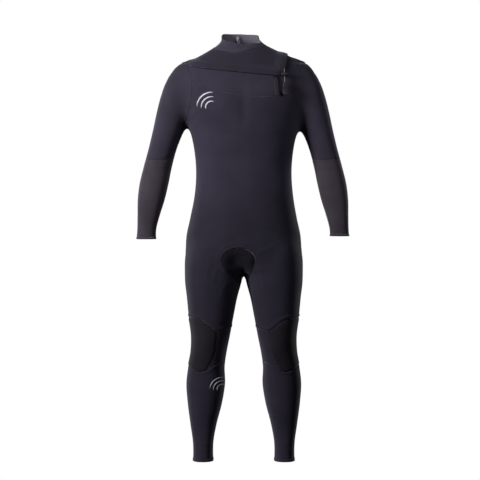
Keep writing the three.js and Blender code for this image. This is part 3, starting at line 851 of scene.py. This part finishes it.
def storm_flap_rise(points):
    """The flap behind the zip hangs free inside and is sewn in only along its foot."""
    return LINING_GAP + 5.4 * (1 - smooth_step(points[:, 2], -166, -146))


def pad_rise(points, side):
    edges = [-Seam(KNEE_TOP, side=side)(points), Seam(KNEE_FOOT, side=side)(points),
             Seam(KNEE_EDGE, side=side)(points), SIDE_SEAM - points[:, 1]]
    return 1.9 * smooth_step(np.min(edges, axis=0), 0, 7)


def shin_rise(points, side):
    ahead = smooth_step(-points[:, 1], -4, 20)
    return bead(-Seam(KNEE_FOOT, side=side)(points), 4.6, 4.4, 1.9) * ahead


def front_rise(points):
    """Beads round the gusset, doubled and high over its top, and the thigh's edge lapping over the knee."""
    gusset = -Seam(GUSSET, closed=True)(points)
    over_top = smooth_step(points[:, 2], -722, -690)
    total = bead(gusset, 4.2, 4, 0.3) + over_top * (bead(gusset, 5.5, 5.5, 2.8) + bead(gusset, 17, 6, 1.8))
    for side in SIDES.values():
        ahead = smooth_step(-points[:, 1], -4, 20) * (points[:, 0] * side > 0)
        total += bead(Seam(KNEE_TOP, side=side)(points), 7, 6.8, 2.6) * ahead
    return total


def mound(points, x, z, wide, high):
    return np.exp(-(((points[:, 0] - x) / wide) ** 2) - ((points[:, 2] - z) / high) ** 2)


def gusset_rise(points):
    """The gusset bulges in its middle and falls away to both sides of the bulge."""
    ahead = smooth_step(-points[:, 1], 0, 24)
    inside = smooth_step(np.abs(Seam(GUSSET, closed=True)(points)), 0, 12)
    bulge = 5.5 * mound(points, 22, -712, 21, 22) + 1.5 * mound(points, -8, -686, 30, 8)
    hollow = 6.5 * mound(points, -28, -722, 22, 30) + 4.0 * mound(points, 50, -728, 9, 20)
    return (bulge - hollow) * ahead * inside


def hem_rise(points, edge):
    return 0.9 * smooth_step(np.abs(points[:, 2] - edge), 0, 1.6)


def collar_rise(points):
    return bead(-AroundNeck(COLLAR_RIM)(points), 3.4, 3.4, 0.9)


RISES = {
    "neck_flap": flap_rise, "storm_flap": storm_flap_rise, "collar": collar_rise, "front_body": front_rise,
    "crotch_gusset": gusset_rise,
}
for side, sign in SIDES.items():
    RISES[f"knee_pad_{side}"] = lambda points, sign=sign: pad_rise(points, sign)
    RISES[f"shin_{side}"] = lambda points, sign=sign: shin_rise(points, sign)
    RISES[f"wrist_hem_{side}"] = lambda points, edge=CUFF[side] + HEM_HIGH["wrist"]: hem_rise(points, edge)
    RISES[f"ankle_hem_{side}"] = lambda points: hem_rise(points, ANKLE + HEM_HIGH["ankle"])
THICKNESS = {"neck_flap": 2.6, "storm_flap": 1.6, "collar": 3.0}

# %% Panel objects
sunk_points = np.zeros(len(cloth.points))
sunk_points[np.concatenate(sunk)] = 1


def new_piece(name, points, faces, thick=0.0, levels=0):
    """A smooth mesh object from millimetres, given thickness inwards and rounded if asked."""
    mesh = bpy.data.meshes.new(name)
    mesh.from_pydata((np.asarray(points) * MM).tolist(), [], [list(map(int, face)) for face in faces])
    mesh.shade_smooth()
    piece = bpy.data.objects.new(name, mesh)
    bpy.context.scene.collection.objects.link(piece)
    if thick:
        shell = piece.modifiers.new("thickness", "SOLIDIFY")
        shell.thickness = thick * MM
        shell.offset = -1
    if levels:
        rounded = piece.modifiers.new("rounded", "SUBSURF")
        rounded.levels = rounded.render_levels = levels
    return piece


def drop_slivers(mesh, shortest=0.5):
    """Cutting leaves some triangles with almost no width; their edges are closed up."""
    work = bmesh.new()
    work.from_mesh(mesh)
    bmesh.ops.dissolve_degenerate(work, dist=shortest * MM, edges=work.edges[:])
    bmesh.ops.triangulate(work, faces=work.faces[:])
    work.to_mesh(mesh)
    work.free()
    mesh.shade_smooth()


def build_panel(name, triangles):
    used, faces = np.unique(triangles, return_inverse=True)
    points = cloth.points[used]
    lift = fold_height(points) - SEAM_SINK * sunk_points[used]
    if name in RISES:
        lift = lift + RISES[name](points)
    points = points + outward(points) * lift[:, None]
    piece = new_piece(name + "_cloth", points, faces.reshape(-1, 3), THICKNESS.get(name, SHEET))
    for mark, values in zip(("seam_gap", "seam_run"), cloth.marks[used].T):
        attribute = piece.data.attributes.new(mark, "FLOAT", "POINT")
        attribute.data.foreach_set("value", np.ascontiguousarray(values, np.float32))
    drop_slivers(piece.data)
    if name == "neck_flap":
        shell = piece.modifiers["thickness"]
        shell.edge_crease_outer = shell.edge_crease_inner = shell.edge_crease_rim = 0.8
        piece.modifiers.new("finer", "SUBSURF").levels = 1
    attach(piece, "suit")
    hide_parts(name)
    return piece


cloth_pieces = {name: build_panel(name, triangles) for name, triangles in panels.items()}
cloth_faces = sum(len(piece.data.polygons) for piece in cloth_pieces.values())
print(len(cloth_pieces), "panels of cloth,", cloth_faces, "faces")


# %% Each panel's cut size
def flat_size(name, piece):
    """Width, length and area of one layer, in metres; a tube is measured as if slit open."""
    mesh = piece.data
    area = sum(polygon.area for polygon in mesh.polygons)
    heights = [vertex.co.z for vertex in mesh.vertices]
    length = max(1.02 * (max(heights) - min(heights)), 0.011)
    widest = area / length
    across = [vertex.co.x for vertex in mesh.vertices]
    span = max(across) - min(across)
    width = max(widest, span) if name in WIDE_PANELS else widest
    return width, max(length, area / width), area


WIDE_PANELS = ("front_body", "back_body", "chest_panel", "neck_flap")
for name, piece in sorted(cloth_pieces.items()):
    width, length, area = flat_size(name, piece)
    print(f"{name}: {width * 1000:.0f} x {length * 1000:.0f} mm, {area * 1e4:.0f} cm2")


# %% [markdown]
# ## Jersey
# The outside of the rubber is laminated with a fine knitted nylon. It is nearly black, matt when seen
# straight on and velvety at a glancing angle, where the tiny loops catch light: that is Sheen. The knit
# is a bump of two crossed waves, under a millimetre apart. The panels are glued and blind-stitched: along
# each seam the material draws slanted stitches in the valley, from two numbers that the cutting left on
# every point, the distance across the seam and the distance along it.

# %% Jersey materials
def place_parts(tree):
    place = make(tree, "ShaderNodeTexCoord", out=3)
    split = tree.nodes.new("ShaderNodeSeparateXYZ")
    tree.links.new(place.socket, split.inputs[0])
    return place, *(Wire(tree, output) for output in split.outputs)


def knitted(across, upright, wave):
    """Columns of small V stitches: a row wave whose phase leans the other way in every second column."""
    lean = (across * wave * 0.5).sin() * 1.6
    return (upright * wave + lean).sin() * 0.5 + abs((across * wave * 0.5).sin())


def jersey(name, shade, thread, wave=6800.0, sheen=0.3, rough=0.88, embossed=0.0, thigh_painted_shade=0.0):
    material, tree, skin = new_material(name, {
        "Sheen Weight": sheen, "Sheen Roughness": 0.4, "Sheen Tint": (0.78, 0.76, 0.9, 1.0),
        "Specular IOR Level": 0.16,
    })
    place, across, depth, upright = place_parts(tree)
    cloudy = make(tree, "ShaderNodeTexNoise", {}, {"Vector": place, "Scale": 11.0, "Detail": 3.0})
    fuzz = make(tree, "ShaderNodeTexNoise", {}, {"Vector": place, "Scale": 520.0, "Detail": 2.0})
    melange = make(tree, "ShaderNodeTexNoise", {}, {"Vector": place, "Scale": 1500.0, "Detail": 1.0})
    gap = make(tree, "ShaderNodeAttribute", {"attribute_name": "seam_gap"}, out=2)
    run = make(tree, "ShaderNodeAttribute", {"attribute_name": "seam_run"}, out=2)
    stitch = (run * 1.75 + gap * 1.1).sin().ramp(0.3, 0.75) * (1 - gap.ramp(1.1, 1.5))
    # Along each seam the colour darkens towards the seam line: partly a dark glue line, partly painted shade in the
    # seam's valley.
    glue_and_valley_shade = 1 - gap.ramp(0.15, 0.9)
    knit = knitted(across + depth * 0.7, upright, wave)
    dark = tuple(c * 0.78 for c in shade[:3]) + (1.0,)
    light = tuple(c * 1.22 for c in shade[:3]) + (1.0,)
    cloth_colour = blend_colours(tree,
        (cloudy * 0.45 + fuzz * 0.3 + melange * 0.25).ramp(0.32, 0.68), dark, light)
    # Painted shade: over the thighs the colour is pulled towards a much darker shade, standing in for the key lamp's
    # light that falls off lower down.
    thigh_shade_band = (1 - upright.ramp(-0.62, -0.40)) * upright.ramp(-1.20, -1.02)
    cloth_colour = blend_colours(tree, thigh_shade_band * thigh_painted_shade, cloth_colour,
        tuple(c * 0.3 for c in shade[:3]) + (1.0,))
    with_glue_and_valley_shade = blend_colours(tree, glue_and_valley_shade * 0.55, cloth_colour, tuple(c * 0.35 for c in shade[:3]) + (1.0,))
    feed(tree, skin, "Base Color", blend_colours(tree, stitch * 0.8, with_glue_and_valley_shade, thread))
    feed(tree, skin, "Roughness", fuzz.ramp(0.3, 0.7, rough - 0.06, rough + 0.06))
    height = knit * 0.35 + fuzz * 0.5 + stitch * 2.0
    if embossed:
        cells = (across * embossed).sin() * (upright * embossed).sin()
        height = height + abs(cells).ramp(0.1, 0.5) * 3.0
    bump = make(tree, "ShaderNodeBump", {}, {"Height": height, "Strength": 0.35, "Distance": 0.0004})
    feed(tree, skin, "Normal", bump)
    return material


def woven(name, shade, thread_wave, sheen=0.3, relief=0.5):
    material, tree, skin = new_material(name, {"Sheen Weight": sheen, "Specular IOR Level": 0.25})
    place, across, depth, upright = place_parts(tree)
    one_way, other_way = (across + depth + upright) * thread_wave, (across + depth - upright) * thread_wave
    weave = one_way.sin().most(other_way.sin())
    fuzz = make(tree, "ShaderNodeTexNoise", {}, {"Vector": place, "Scale": 900.0, "Detail": 2.0})
    dark = tuple(c * 0.5 for c in shade[:3]) + (1.0,)
    feed(tree, skin, "Base Color",
         blend_colours(tree, (weave * 0.7 + fuzz * 0.6).ramp(0.0, 0.9), dark, shade))
    feed(tree, skin, "Roughness", fuzz.ramp(0.3, 0.7, 0.7, 0.9))
    feed(tree, skin, "Normal", make(tree, "ShaderNodeBump", {}, {
        "Height": weave, "Strength": relief, "Distance": 0.0003}))
    return material


JERSEYS = {
    "smooth_jersey": dict(shade=colour(43, 39, 53), thread=colour(34, 32, 42), thigh_painted_shade=0.4),
    "panel_jersey": dict(shade=colour(45, 41, 54), thread=colour(34, 32, 42)),
    # The gusset's jersey is much darker than the body's: painted shade for the crotch, which lies out of the light
    # between the thighs.
    "gusset_shade_jersey": dict(shade=colour(21, 18, 26), thread=colour(18, 16, 21), sheen=0.15),
    "flap_jersey": dict(shade=colour(40, 36, 48), thread=colour(32, 30, 39)),
    "sleeve_jersey": dict(shade=colour(55, 49, 58), thread=colour(40, 36, 43), sheen=0.4),
    "knee_jersey": dict(shade=colour(29, 25, 33), thread=colour(22, 20, 25),
        embossed=1250.0, rough=0.8, sheen=0.2),
    "collar_jersey": dict(shade=colour(52, 48, 60), thread=colour(38, 35, 46), sheen=0.4),
}
FINISH_OF = {
    "front_body": "smooth_jersey", "back_body": "smooth_jersey",
    "shin": "smooth_jersey", "calf": "smooth_jersey",
    "ankle_hem": "smooth_jersey", "knee_back": "smooth_jersey", "chest_panel": "panel_jersey",
    "neck_flap": "flap_jersey", "storm_flap": "panel_jersey", "upper_sleeve": "panel_jersey",
    "forearm_sleeve": "sleeve_jersey", "wrist_hem": "sleeve_jersey", "knee_pad": "knee_jersey",
    "crotch_gusset": "gusset_shade_jersey", "collar": "collar_jersey",
}
finishes = {name: jersey(name, **recipe) for name, recipe in JERSEYS.items()}
# The lining is a light grey weave; its light tone is partly painted light, lifting the inside of the neck where the
# collar shades it.
lining = woven("lining", colour(84, 79, 94), 6200.0, relief=0.15)
for name, piece in cloth_pieces.items():
    finish = FINISH_OF[name.removesuffix("_left").removesuffix("_right")]
    piece.data.materials.append(finishes[finish])
    piece.data.materials.append(lining)
    piece.modifiers["thickness"].material_offset = 1
print("finishes:", sorted(finishes))


# %% [markdown]
# ## Hard finishes
# The pulls are moulded rubber, the cord lock and the zip's slider moulded plastic, the cord a round
# braid, the tape and the hanging loop narrow weaves. Each is a simple base colour with the fine
# unevenness that moulding or weaving leaves in its gloss and in its surface.

# %% Materials of the trim
def moulded(name, shade, rough, grain, gloss=0.5):
    material, tree, skin = new_material(name, {"Specular IOR Level": gloss})
    place, across, depth, upright = place_parts(tree)
    speckle = make(tree, "ShaderNodeTexNoise", {}, {"Vector": place, "Scale": grain, "Detail": 4.0})
    smudge = make(tree, "ShaderNodeTexNoise", {}, {"Vector": place, "Scale": 60.0, "Detail": 2.0})
    lighter = tuple(min(c * 1.5, 1) for c in shade[:3]) + (1.0,)
    feed(tree, skin, "Base Color",
         blend_colours(tree, (speckle * 0.5 + smudge * 0.5).ramp(0.35, 0.7), shade, lighter))
    feed(tree, skin, "Roughness", smudge.ramp(0.3, 0.7, rough - 0.08, rough + 0.1))
    feed(tree, skin, "Normal", make(tree, "ShaderNodeBump", {}, {
        "Height": speckle, "Strength": 0.2, "Distance": 0.0002}))
    return material


finishes.update(
    pull_rubber=moulded("pull_rubber", colour(29, 25, 33), 0.5, 700.0, gloss=0.4),
    lock_plastic=moulded("lock_plastic", colour(28, 27, 32), 0.55, 400.0, gloss=0.3),
    zip_plastic=moulded("zip_plastic", colour(30, 29, 34), 0.34, 500.0),
    zip_tape=woven("zip_tape", colour(36, 34, 40), 5200.0),
    cord_braid=woven("cord_braid", colour(112, 107, 118), 2600.0),
    label_cloth=woven("label_cloth", colour(128, 124, 136), 4200.0),
    print_ink=moulded("print_ink", colour(168, 166, 176), 0.55, 900.0, gloss=0.3),
)


# %% [markdown]
# ## Frames from the solid model
# The small moving pieces must sit exactly where the solid model has them. The corners of each solid tell
# its middle and its three main directions, which become the axes of the detailed piece.

# %% Where a solid piece lies
def solid_frame(name):
    """Middle, axes (longest first) and sizes of a solid piece, in millimetres."""
    corners = np.array([vertex.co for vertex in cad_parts[name].data.vertices]) / MM
    middle = corners.mean(axis=0)
    axes = np.linalg.eigh(np.cov((corners - middle).T))[1].T[::-1]
    axes = np.array([axis * np.sign(axis[np.abs(axis).argmax()]) for axis in axes])
    along = (corners - middle) @ axes.T
    low, high = along.min(axis=0), along.max(axis=0)
    return middle + ((low + high) / 2) @ axes, axes, high - low


def finish_piece(piece, node, body, slot):
    piece.data.materials.append(finishes[slot])
    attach(piece, body)
    if node:
        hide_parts(node)
    return piece


# %% [markdown]
# ## The two pulls
# The zip's pull and the cord's end are moulded rubber tabs: a narrow head, shoulders, a slightly waisted
# grip with ribs, and a round end. Front and back are two grids of points that share their border, and a
# window in both makes the eye. Subdivision rounds everything over.

# %% Pulls
def moulded_tab(name, node, rows, ribs, eye=None):
    """rows: (way down from the top, half width, half thickness). ribs: (first, last, spacing). eye: (down, half)."""
    middle, axes, sizes = solid_frame(node)
    up = axes[0] * np.sign(axes[0][2])
    wide = axes[1] * np.sign(axes[1][0])
    out = np.cross(up, wide)
    out *= -np.sign(out[1]) or 1
    top = middle + up * sizes[0] / 2
    rows = smooth_line(rows, pieces=5)
    columns = np.sin(np.linspace(-1, 1, 13) * math.pi / 2)
    points, number = [], {}
    for face in (1, -1):
        for j, (down, half, thick) in enumerate(rows):
            for i, u in enumerate(columns):
                rim = j in (0, len(rows) - 1) or i in (0, len(columns) - 1)
                if rim and face < 0:
                    number[face, i, j] = number[1, i, j]
                    continue
                bulge = thick * (1 - abs(u) ** 5) ** 0.5 if not rim else 0
                rib = 0.0
                if ribs and ribs[0] < down < ribs[1] and abs(u) < 0.8:
                    rib = -0.5 * (0.5 - 0.5 * math.cos(2 * math.pi * (down - ribs[0]) / ribs[2])) * (1 - u**6)
                number[face, i, j] = len(points)
                points.append(top - up * down + wide * half * u + out * face * max(bulge + rib, 0))
    window = set()
    if eye:
        for j in range(len(rows) - 1):
            if abs((rows[j][0] + rows[j + 1][0]) / 2 - eye[0]) < eye[1]:
                window |= {(i, j) for i in range(3, len(columns) - 4)}
    faces = []
    for i in range(len(columns) - 1):
        for j in range(len(rows) - 1):
            for face in (1, -1):
                corners = [
                    number[face, i, j], number[face, i + 1, j],
                    number[face, i + 1, j + 1], number[face, i, j + 1],
                ]
                if (i, j) not in window:
                    faces.append(corners[::-1] if face > 0 else corners)
            if (i, j) in window:
                for (di, dj), (a, b) in {(-1, 0): ((0, 0), (0, 1)), (1, 0): ((1, 1), (1, 0)),
                                         (0, -1): ((1, 0), (0, 0)), (0, 1): ((0, 1), (1, 1))}.items():
                    if (i + di, j + dj) not in window:
                        (ai, aj), (bi, bj) = a, b
                        faces.append([number[1, i + ai, j + aj], number[1, i + bi, j + bj],
                                      number[-1, i + bi, j + bj], number[-1, i + ai, j + aj]][::-1])
    return new_piece(name, points, faces, levels=1)


ZIP_TAB = [(0, 1.4, 0.7), (0.8, 2.4, 1.8), (2.2, 2.8, 2.6), (5, 2.8, 2.6),
           (8, 3.0, 2.2), (11, 5.2, 1.8), (14, 6.7, 1.6),
           (30, 6.4, 1.5), (50, 6.6, 1.5), (61, 6.8, 1.6), (65, 5.6, 1.5), (66.7, 3.4, 1.0), (67.1, 1.6, 0.5)]
CORD_TAB = [(0, 1.5, 0.8), (0.8, 3.2, 2.2), (3, 5.0, 2.6), (8, 6.6, 2.3), (20, 6.9, 1.9), (34, 7.8, 1.9),
            (42, 7.6, 1.9), (45, 5.4, 1.5), (45.9, 2.2, 0.6)]
zip_tab = finish_piece(
    moulded_tab("zip_tab", "zip_pull_tab", ZIP_TAB, (24, 56, 4.0),
        eye=(3.2, 1.7)), "zip_pull_tab", "pull", "pull_rubber")
cord_tab = finish_piece(
    moulded_tab("cord_tab", "cord_tag", CORD_TAB, (14, 38, 4.0)), "cord_tag", "cord_end", "pull_rubber")
print("pulls:", len(zip_tab.data.polygons) + len(cord_tab.data.polygons), "faces before rounding")


# %% [markdown]
# ## Turned pieces
# The cord lock is a barrel with a spring button, and the cord runs through two short eyes on the flap's
# edge. All of them are round, so each is a profile turned about a line.

# %% Turned pieces
def turned(name, profile, middle, axis, closed=False, around=32):
    """profile: (radius, way along the axis). A closed profile makes a ring with a bore."""
    axis = np.array(axis) / np.linalg.norm(axis)
    side = np.cross(axis, (0, 0, 1) if abs(axis[2]) < 0.9 else (0, 1, 0))
    side /= np.linalg.norm(side)
    front = np.cross(axis, side)
    points = [
        middle + axis * along + radius * (side * math.cos(a) + front * math.sin(a))
        for radius, along in profile for a in (2 * math.pi * n / around for n in range(around))
    ]
    rings = len(profile)
    faces = []
    for ring in range(rings if closed else rings - 1):
        a, b = ring * around, ((ring + 1) % rings) * around
        faces += [(a + n, a + (n + 1) % around, b + (n + 1) % around, b + n) for n in range(around)]
    if not closed:
        faces += [tuple(range(around))[::-1], tuple(range((rings - 1) * around, rings * around))]
    return new_piece(name, points, faces)


def barrel(radius, half, edge, grooves):
    """Half a rounded barrel and its mirror, with shallow grooves at the given places."""
    profile = [(radius - edge, -half), (radius - 0.3 * edge, -half + 0.3 * edge), (radius, -half + edge)]
    for groove in grooves:
        profile += [(radius, groove - 0.6), (radius - 0.5, groove - 0.25), (radius - 0.5, groove + 0.25),
                    (radius, groove + 0.6)]
    return profile + [(radius, half - edge), (radius - 0.3 * edge, half - 0.3 * edge), (radius - edge, half)]


middle, axes, sizes = solid_frame("cord_lock_body")
lock = finish_piece(
    turned("lock_barrel", barrel(7.0, 8.5, 1.2, (-5.2, -3.2, 3.2, 5.2)), middle, axes[0]),
    "cord_lock_body", "cord_lock", "lock_plastic")
middle, axes, sizes = solid_frame("cord_lock_button")
button = finish_piece(
    turned("lock_press_button", barrel(5.4, 7.2, 0.9, (5.2,)), middle, axes[0]),
    "cord_lock_button", "lock_button", "lock_plastic")

EYE_PROFILE = [(1.95, -2.0), (2.3, -2.5), (3.4, -2.4), (3.9, -1.8),
               (4.0, 0.0), (3.9, 1.8), (3.4, 2.4), (2.3, 2.5),
               (1.95, 2.0), (1.8, 0.0)]
route = np.array(CORD_ROUTE)
eyes = []
for name in ("cord_eye_shoulder", "cord_eye_corner"):
    middle = solid_frame(name)[0]
    near = int(np.clip(np.linalg.norm(route - middle, axis=1).argmin(), 1, len(route) - 2))
    eye = turned(name + "_ring", EYE_PROFILE, middle, route[near + 1] - route[near - 1], closed=True)
    eyes.append(finish_piece(eye, name, "suit", "lock_plastic"))
print("lock, button and", len(eyes), "eyes")


# %% [markdown]
# ## Cord, zip, loop and label
# The zip's rows, stops, slider and ring keep the solid model's exact shape and get their finish. The
# loop is a folded piece of tape sewn inside the neck, and the label is a soft print on the lining.

# %% Cord and zip
drawcord.data.materials.append(finishes["cord_braid"])
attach(drawcord, "suit")
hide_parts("drawcord")
KEPT_SOLIDS = {
    "zip_row_upper": "zip_tape", "zip_row_lower": "zip_tape", "zip_stop_closed": "zip_plastic",
    "zip_stop_open": "zip_plastic", "zip_slider": "zip_plastic", "zip_pull_ring": "zip_plastic",
}
for node, finish in KEPT_SOLIDS.items():
    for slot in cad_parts[node].material_slots:
        slot.material = finishes[finish]


# %% Hanging loop
def tape(name, path, wide, thick):
    """A flat tape of the given width in X that follows a path of (back, up) points."""
    path = smooth_line(path, pieces=6)
    points = [(LOOP_AT + side * wide / 2, back, up) for back, up in path for side in (-1, 1)]
    faces = [(2 * n, 2 * n + 1, 2 * n + 3, 2 * n + 2) for n in range(len(path) - 1)]
    piece = new_piece(name, points, faces, thick)
    piece.modifiers["thickness"].offset = 0
    return piece


LOOP_AT = float(np.mean([corner[0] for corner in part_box("hang_loop")])) / MM
LOOP_PATH = [
    (54.5, 14), (53.2, 20), (48, 25), (44.8, 34), (45.2, 43), (47.6, 47.5), (49.8, 43), (51, 32), (54.2, 17),
]
hang_loop = finish_piece(tape("neck_loop", LOOP_PATH, 10, 1.1), "hang_loop", "suit", "label_cloth")


# %% Prints on the cloth
def skin_depth(x, z, face=FRONT):
    """The place in Y where the skin is met, coming from the front or from the back."""
    outside, inside = np.full(len(x), 170.0 * face), np.full(len(x), 4.0)
    for _ in range(26):
        middle = (outside + inside) / 2
        is_inside = suit_distance(np.stack([x, middle, z], axis=1)) < 0
        inside, outside = np.where(is_inside, middle, inside), np.where(is_inside, outside, middle)
    return inside


def print_strokes(name, strokes, face=FRONT, proud=0.35):
    """Strokes are (line, half width at the middle); they taper to both ends and lie on the skin."""
    points, faces = [], []
    for line, half in strokes:
        line = smooth_line(line, pieces=10)
        way = np.gradient(line, axis=0)
        way /= np.hypot(*way.T)[:, None]
        share = np.linspace(0, 1, len(line))
        width = half * np.sin(np.pi * np.clip(share, 0.02, 0.98)) ** 0.6
        first = len(points)
        for across in (-1, 0, 1):
            points += (line + np.stack([-way[:, 1], way[:, 0]], axis=1) * (width * across)[:, None]).tolist()
        for lane in (0, 1):
            a, b = first + lane * len(line), first + (lane + 1) * len(line)
            faces += [(a + n, a + n + 1, b + n + 1, b + n) for n in range(len(line) - 1)]
    flat = np.array(points)
    body = np.stack([flat[:, 0], skin_depth(flat[:, 0], flat[:, 1], face), flat[:, 1]], axis=1)
    lift = (fold_height(body) + proud)[:, None]
    faces = [tuple(reversed(corners)) for corners in faces] if face == FRONT else faces
    return new_piece(name, body + outward(body) * lift, faces, 0.45)


def ripple_mark(x, z, size):
    """Three arcs about one place, like ripples on water: a plain mark with no wording."""
    strokes = []
    for radius, first, last in ((1.0, 84, 176), (0.7, 78, 184), (0.4, 66, 196)):
        turns = [math.radians(first + (last - first) * n / 6) for n in range(7)]
        line = [(x + radius * size * math.cos(a), z + radius * size * math.sin(a)) for a in turns]
        strokes.append((line, 0.05 * size))
    return strokes


chest_print = finish_piece(
    print_strokes("chest_print", ripple_mark(-104, -202, 50)), None, "suit", "print_ink")
shin_print = finish_piece(print_strokes("shin_print", ripple_mark(-72, -1150, 40)), None, "suit", "print_ink")
print("prints:", len(chest_print.data.polygons), "and", len(shin_print.data.polygons), "faces")


# %% Size label
def label_patch(name, middle, wide, high, depth):
    """A thin patch on the inside of the back, following its curve."""
    across, up = np.meshgrid(np.linspace(-wide / 2, wide / 2, 13), np.linspace(-high / 2, high / 2, 9))
    corner = (np.abs(across * 2 / wide) ** 8 + np.abs(up * 2 / high) ** 8) ** 0.125
    pull = np.minimum(1, 1 / np.maximum(corner, 1e-6))
    x, z = (middle[0] + across * pull).ravel(), (middle[1] + up * pull).ravel()
    body = np.stack([x, skin_depth(x, z, BACK), z], axis=1)
    body = body - outward(body) * depth
    faces = [(r * 13 + c, r * 13 + c + 1, (r + 1) * 13 + c + 1, (r + 1) * 13 + c)
             for r in range(8) for c in range(12)]
    return new_piece(name, body, faces, 0.6)


label = finish_piece(label_patch("neck_label", (-4, -28), 34, 24, SHEET + 0.4),
    "size_label", "suit", "label_cloth")


# %% [markdown]
# ## Stage and light
# The suit hangs in a white room. The room is a big ball that only the camera sees, and only from inside,
# so that every view has a clean white background while the lamps alone decide how the suit is lit. The
# key lamp stands at the wearer's right, half ahead; two narrow lamps behind draw a thin light rim.

# %% Stage
def glowing_white(name, strength):
    material = bpy.data.materials.new(name)
    material.use_nodes = True
    tree = material.node_tree
    tree.nodes.clear()
    shine = make(tree, "ShaderNodeEmission", {}, {"Color": (1, 1, 1, 1), "Strength": strength})
    clear = make(tree, "ShaderNodeBsdfTransparent")
    back = make(tree, "ShaderNodeNewGeometry", out=6)
    mixed = make(tree, "ShaderNodeMixShader", {}, {0: back, 1: shine, 2: clear})
    out = tree.nodes.new("ShaderNodeOutputMaterial")
    tree.links.new(mixed.socket, out.inputs["Surface"])
    return material


def only_for_the_camera(piece):
    for ray in ("diffuse", "glossy", "transmission", "volume_scatter", "shadow"):
        setattr(piece, "visible_" + ray, False)
    piece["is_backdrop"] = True


ROOM_SIZE, FLOOR_Z = 9.0, -1.52
white = glowing_white("white_room", 1.0)
bpy.ops.mesh.primitive_uv_sphere_add(segments=48, ring_count=24, radius=ROOM_SIZE, location=(0, 0, -0.7))
room_ball = bpy.context.object
room_ball.name = "white_room"
room_ball.data.flip_normals()
room_ball.data.materials.append(white)
only_for_the_camera(room_ball)
bpy.ops.mesh.primitive_circle_add(vertices=64, radius=2.4, fill_type="NGON", location=(0, 0, FLOOR_Z))
floor = bpy.context.object
floor.name = "floor"
floor.data.materials.append(white)
only_for_the_camera(floor)


# %% Lamps
def aim(lamp, place, target):
    way = [t - p for t, p in zip(target, place)]
    flat = math.hypot(way[0], way[1])
    lamp.location = place
    lamp.rotation_euler = (math.pi / 2 + math.atan2(way[2], flat), 0, math.atan2(-way[0], way[1]))
    bpy.context.scene.collection.objects.link(lamp)


def area_lamp(name, place, target, size, watts, fan=180):
    """A soft box; fan is how widely it spreads, in degrees."""
    light = bpy.data.lights.new(name, "AREA")
    light.shape = "RECTANGLE"
    light.size, light.size_y = size
    light.energy, light.spread = watts, math.radians(fan)
    aim(bpy.data.objects.new(name, light), place, target)


def spot_lamp(name, place, target, cone, watts):
    light = bpy.data.lights.new(name, "SPOT")
    light.spot_size, light.spot_blend = math.radians(cone), 0.8
    light.energy, light.shadow_soft_size = watts, 0.08
    aim(bpy.data.objects.new(name, light), place, target)


def ring_place(degrees, away, height):
    """A place around the suit: 0 degrees is straight ahead, positive is towards the wearer's left."""
    return (away * math.sin(math.radians(degrees)), -away * math.cos(math.radians(degrees)), height)


MIDDLE = (0, 0, -0.60)
KEY_WATTS, FRONT_WATTS, SHOULDER_WATTS, RIM_WATTS, NECK_WATTS = 46, 1.6, 0.8, 24, 170
ROOM_GLOW = 0.05
area_lamp("key", ring_place(-56, 3.1, 0.6), (0, 0, -0.25), (0.8, 1.3), KEY_WATTS, fan=100)
area_lamp("front", ring_place(8, 4.2, -0.2), MIDDLE, (1.2, 1.6), FRONT_WATTS)
area_lamp("shoulder", ring_place(48, 2.6, 0.5), (0.2, 0, -0.28), (0.6, 0.6), SHOULDER_WATTS, fan=36)
area_lamp("rim_left", ring_place(128, 2.6, -0.5), MIDDLE, (0.4, 2.2), RIM_WATTS)
area_lamp("rim_right", ring_place(-128, 2.6, -0.5), MIDDLE, (0.4, 2.2), RIM_WATTS)
spot_lamp("neck", ring_place(16, 1.9, 1.1), (-0.008, 0.05, 0.045), 3.6, NECK_WATTS)
room = bpy.data.worlds.new("room")
room.use_nodes = True
room.node_tree.nodes["Background"].inputs["Color"].default_value = (1, 1, 1, 1)
room.node_tree.nodes["Background"].inputs["Strength"].default_value = ROOM_GLOW
bpy.context.scene.world = room
bpy.context.scene.view_settings.view_transform = "Standard"
print("lamps: key, front, shoulder, two rims and a small one for the neck")

# %% Sizes and the end
look_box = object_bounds()
{"cad": [list(corner) for corner in cad_box], "looks": [list(corner) for corner in look_box]}
print("solid model", [list(corner) for corner in cad_box], "finished look", [list(corner) for corner in look_box])
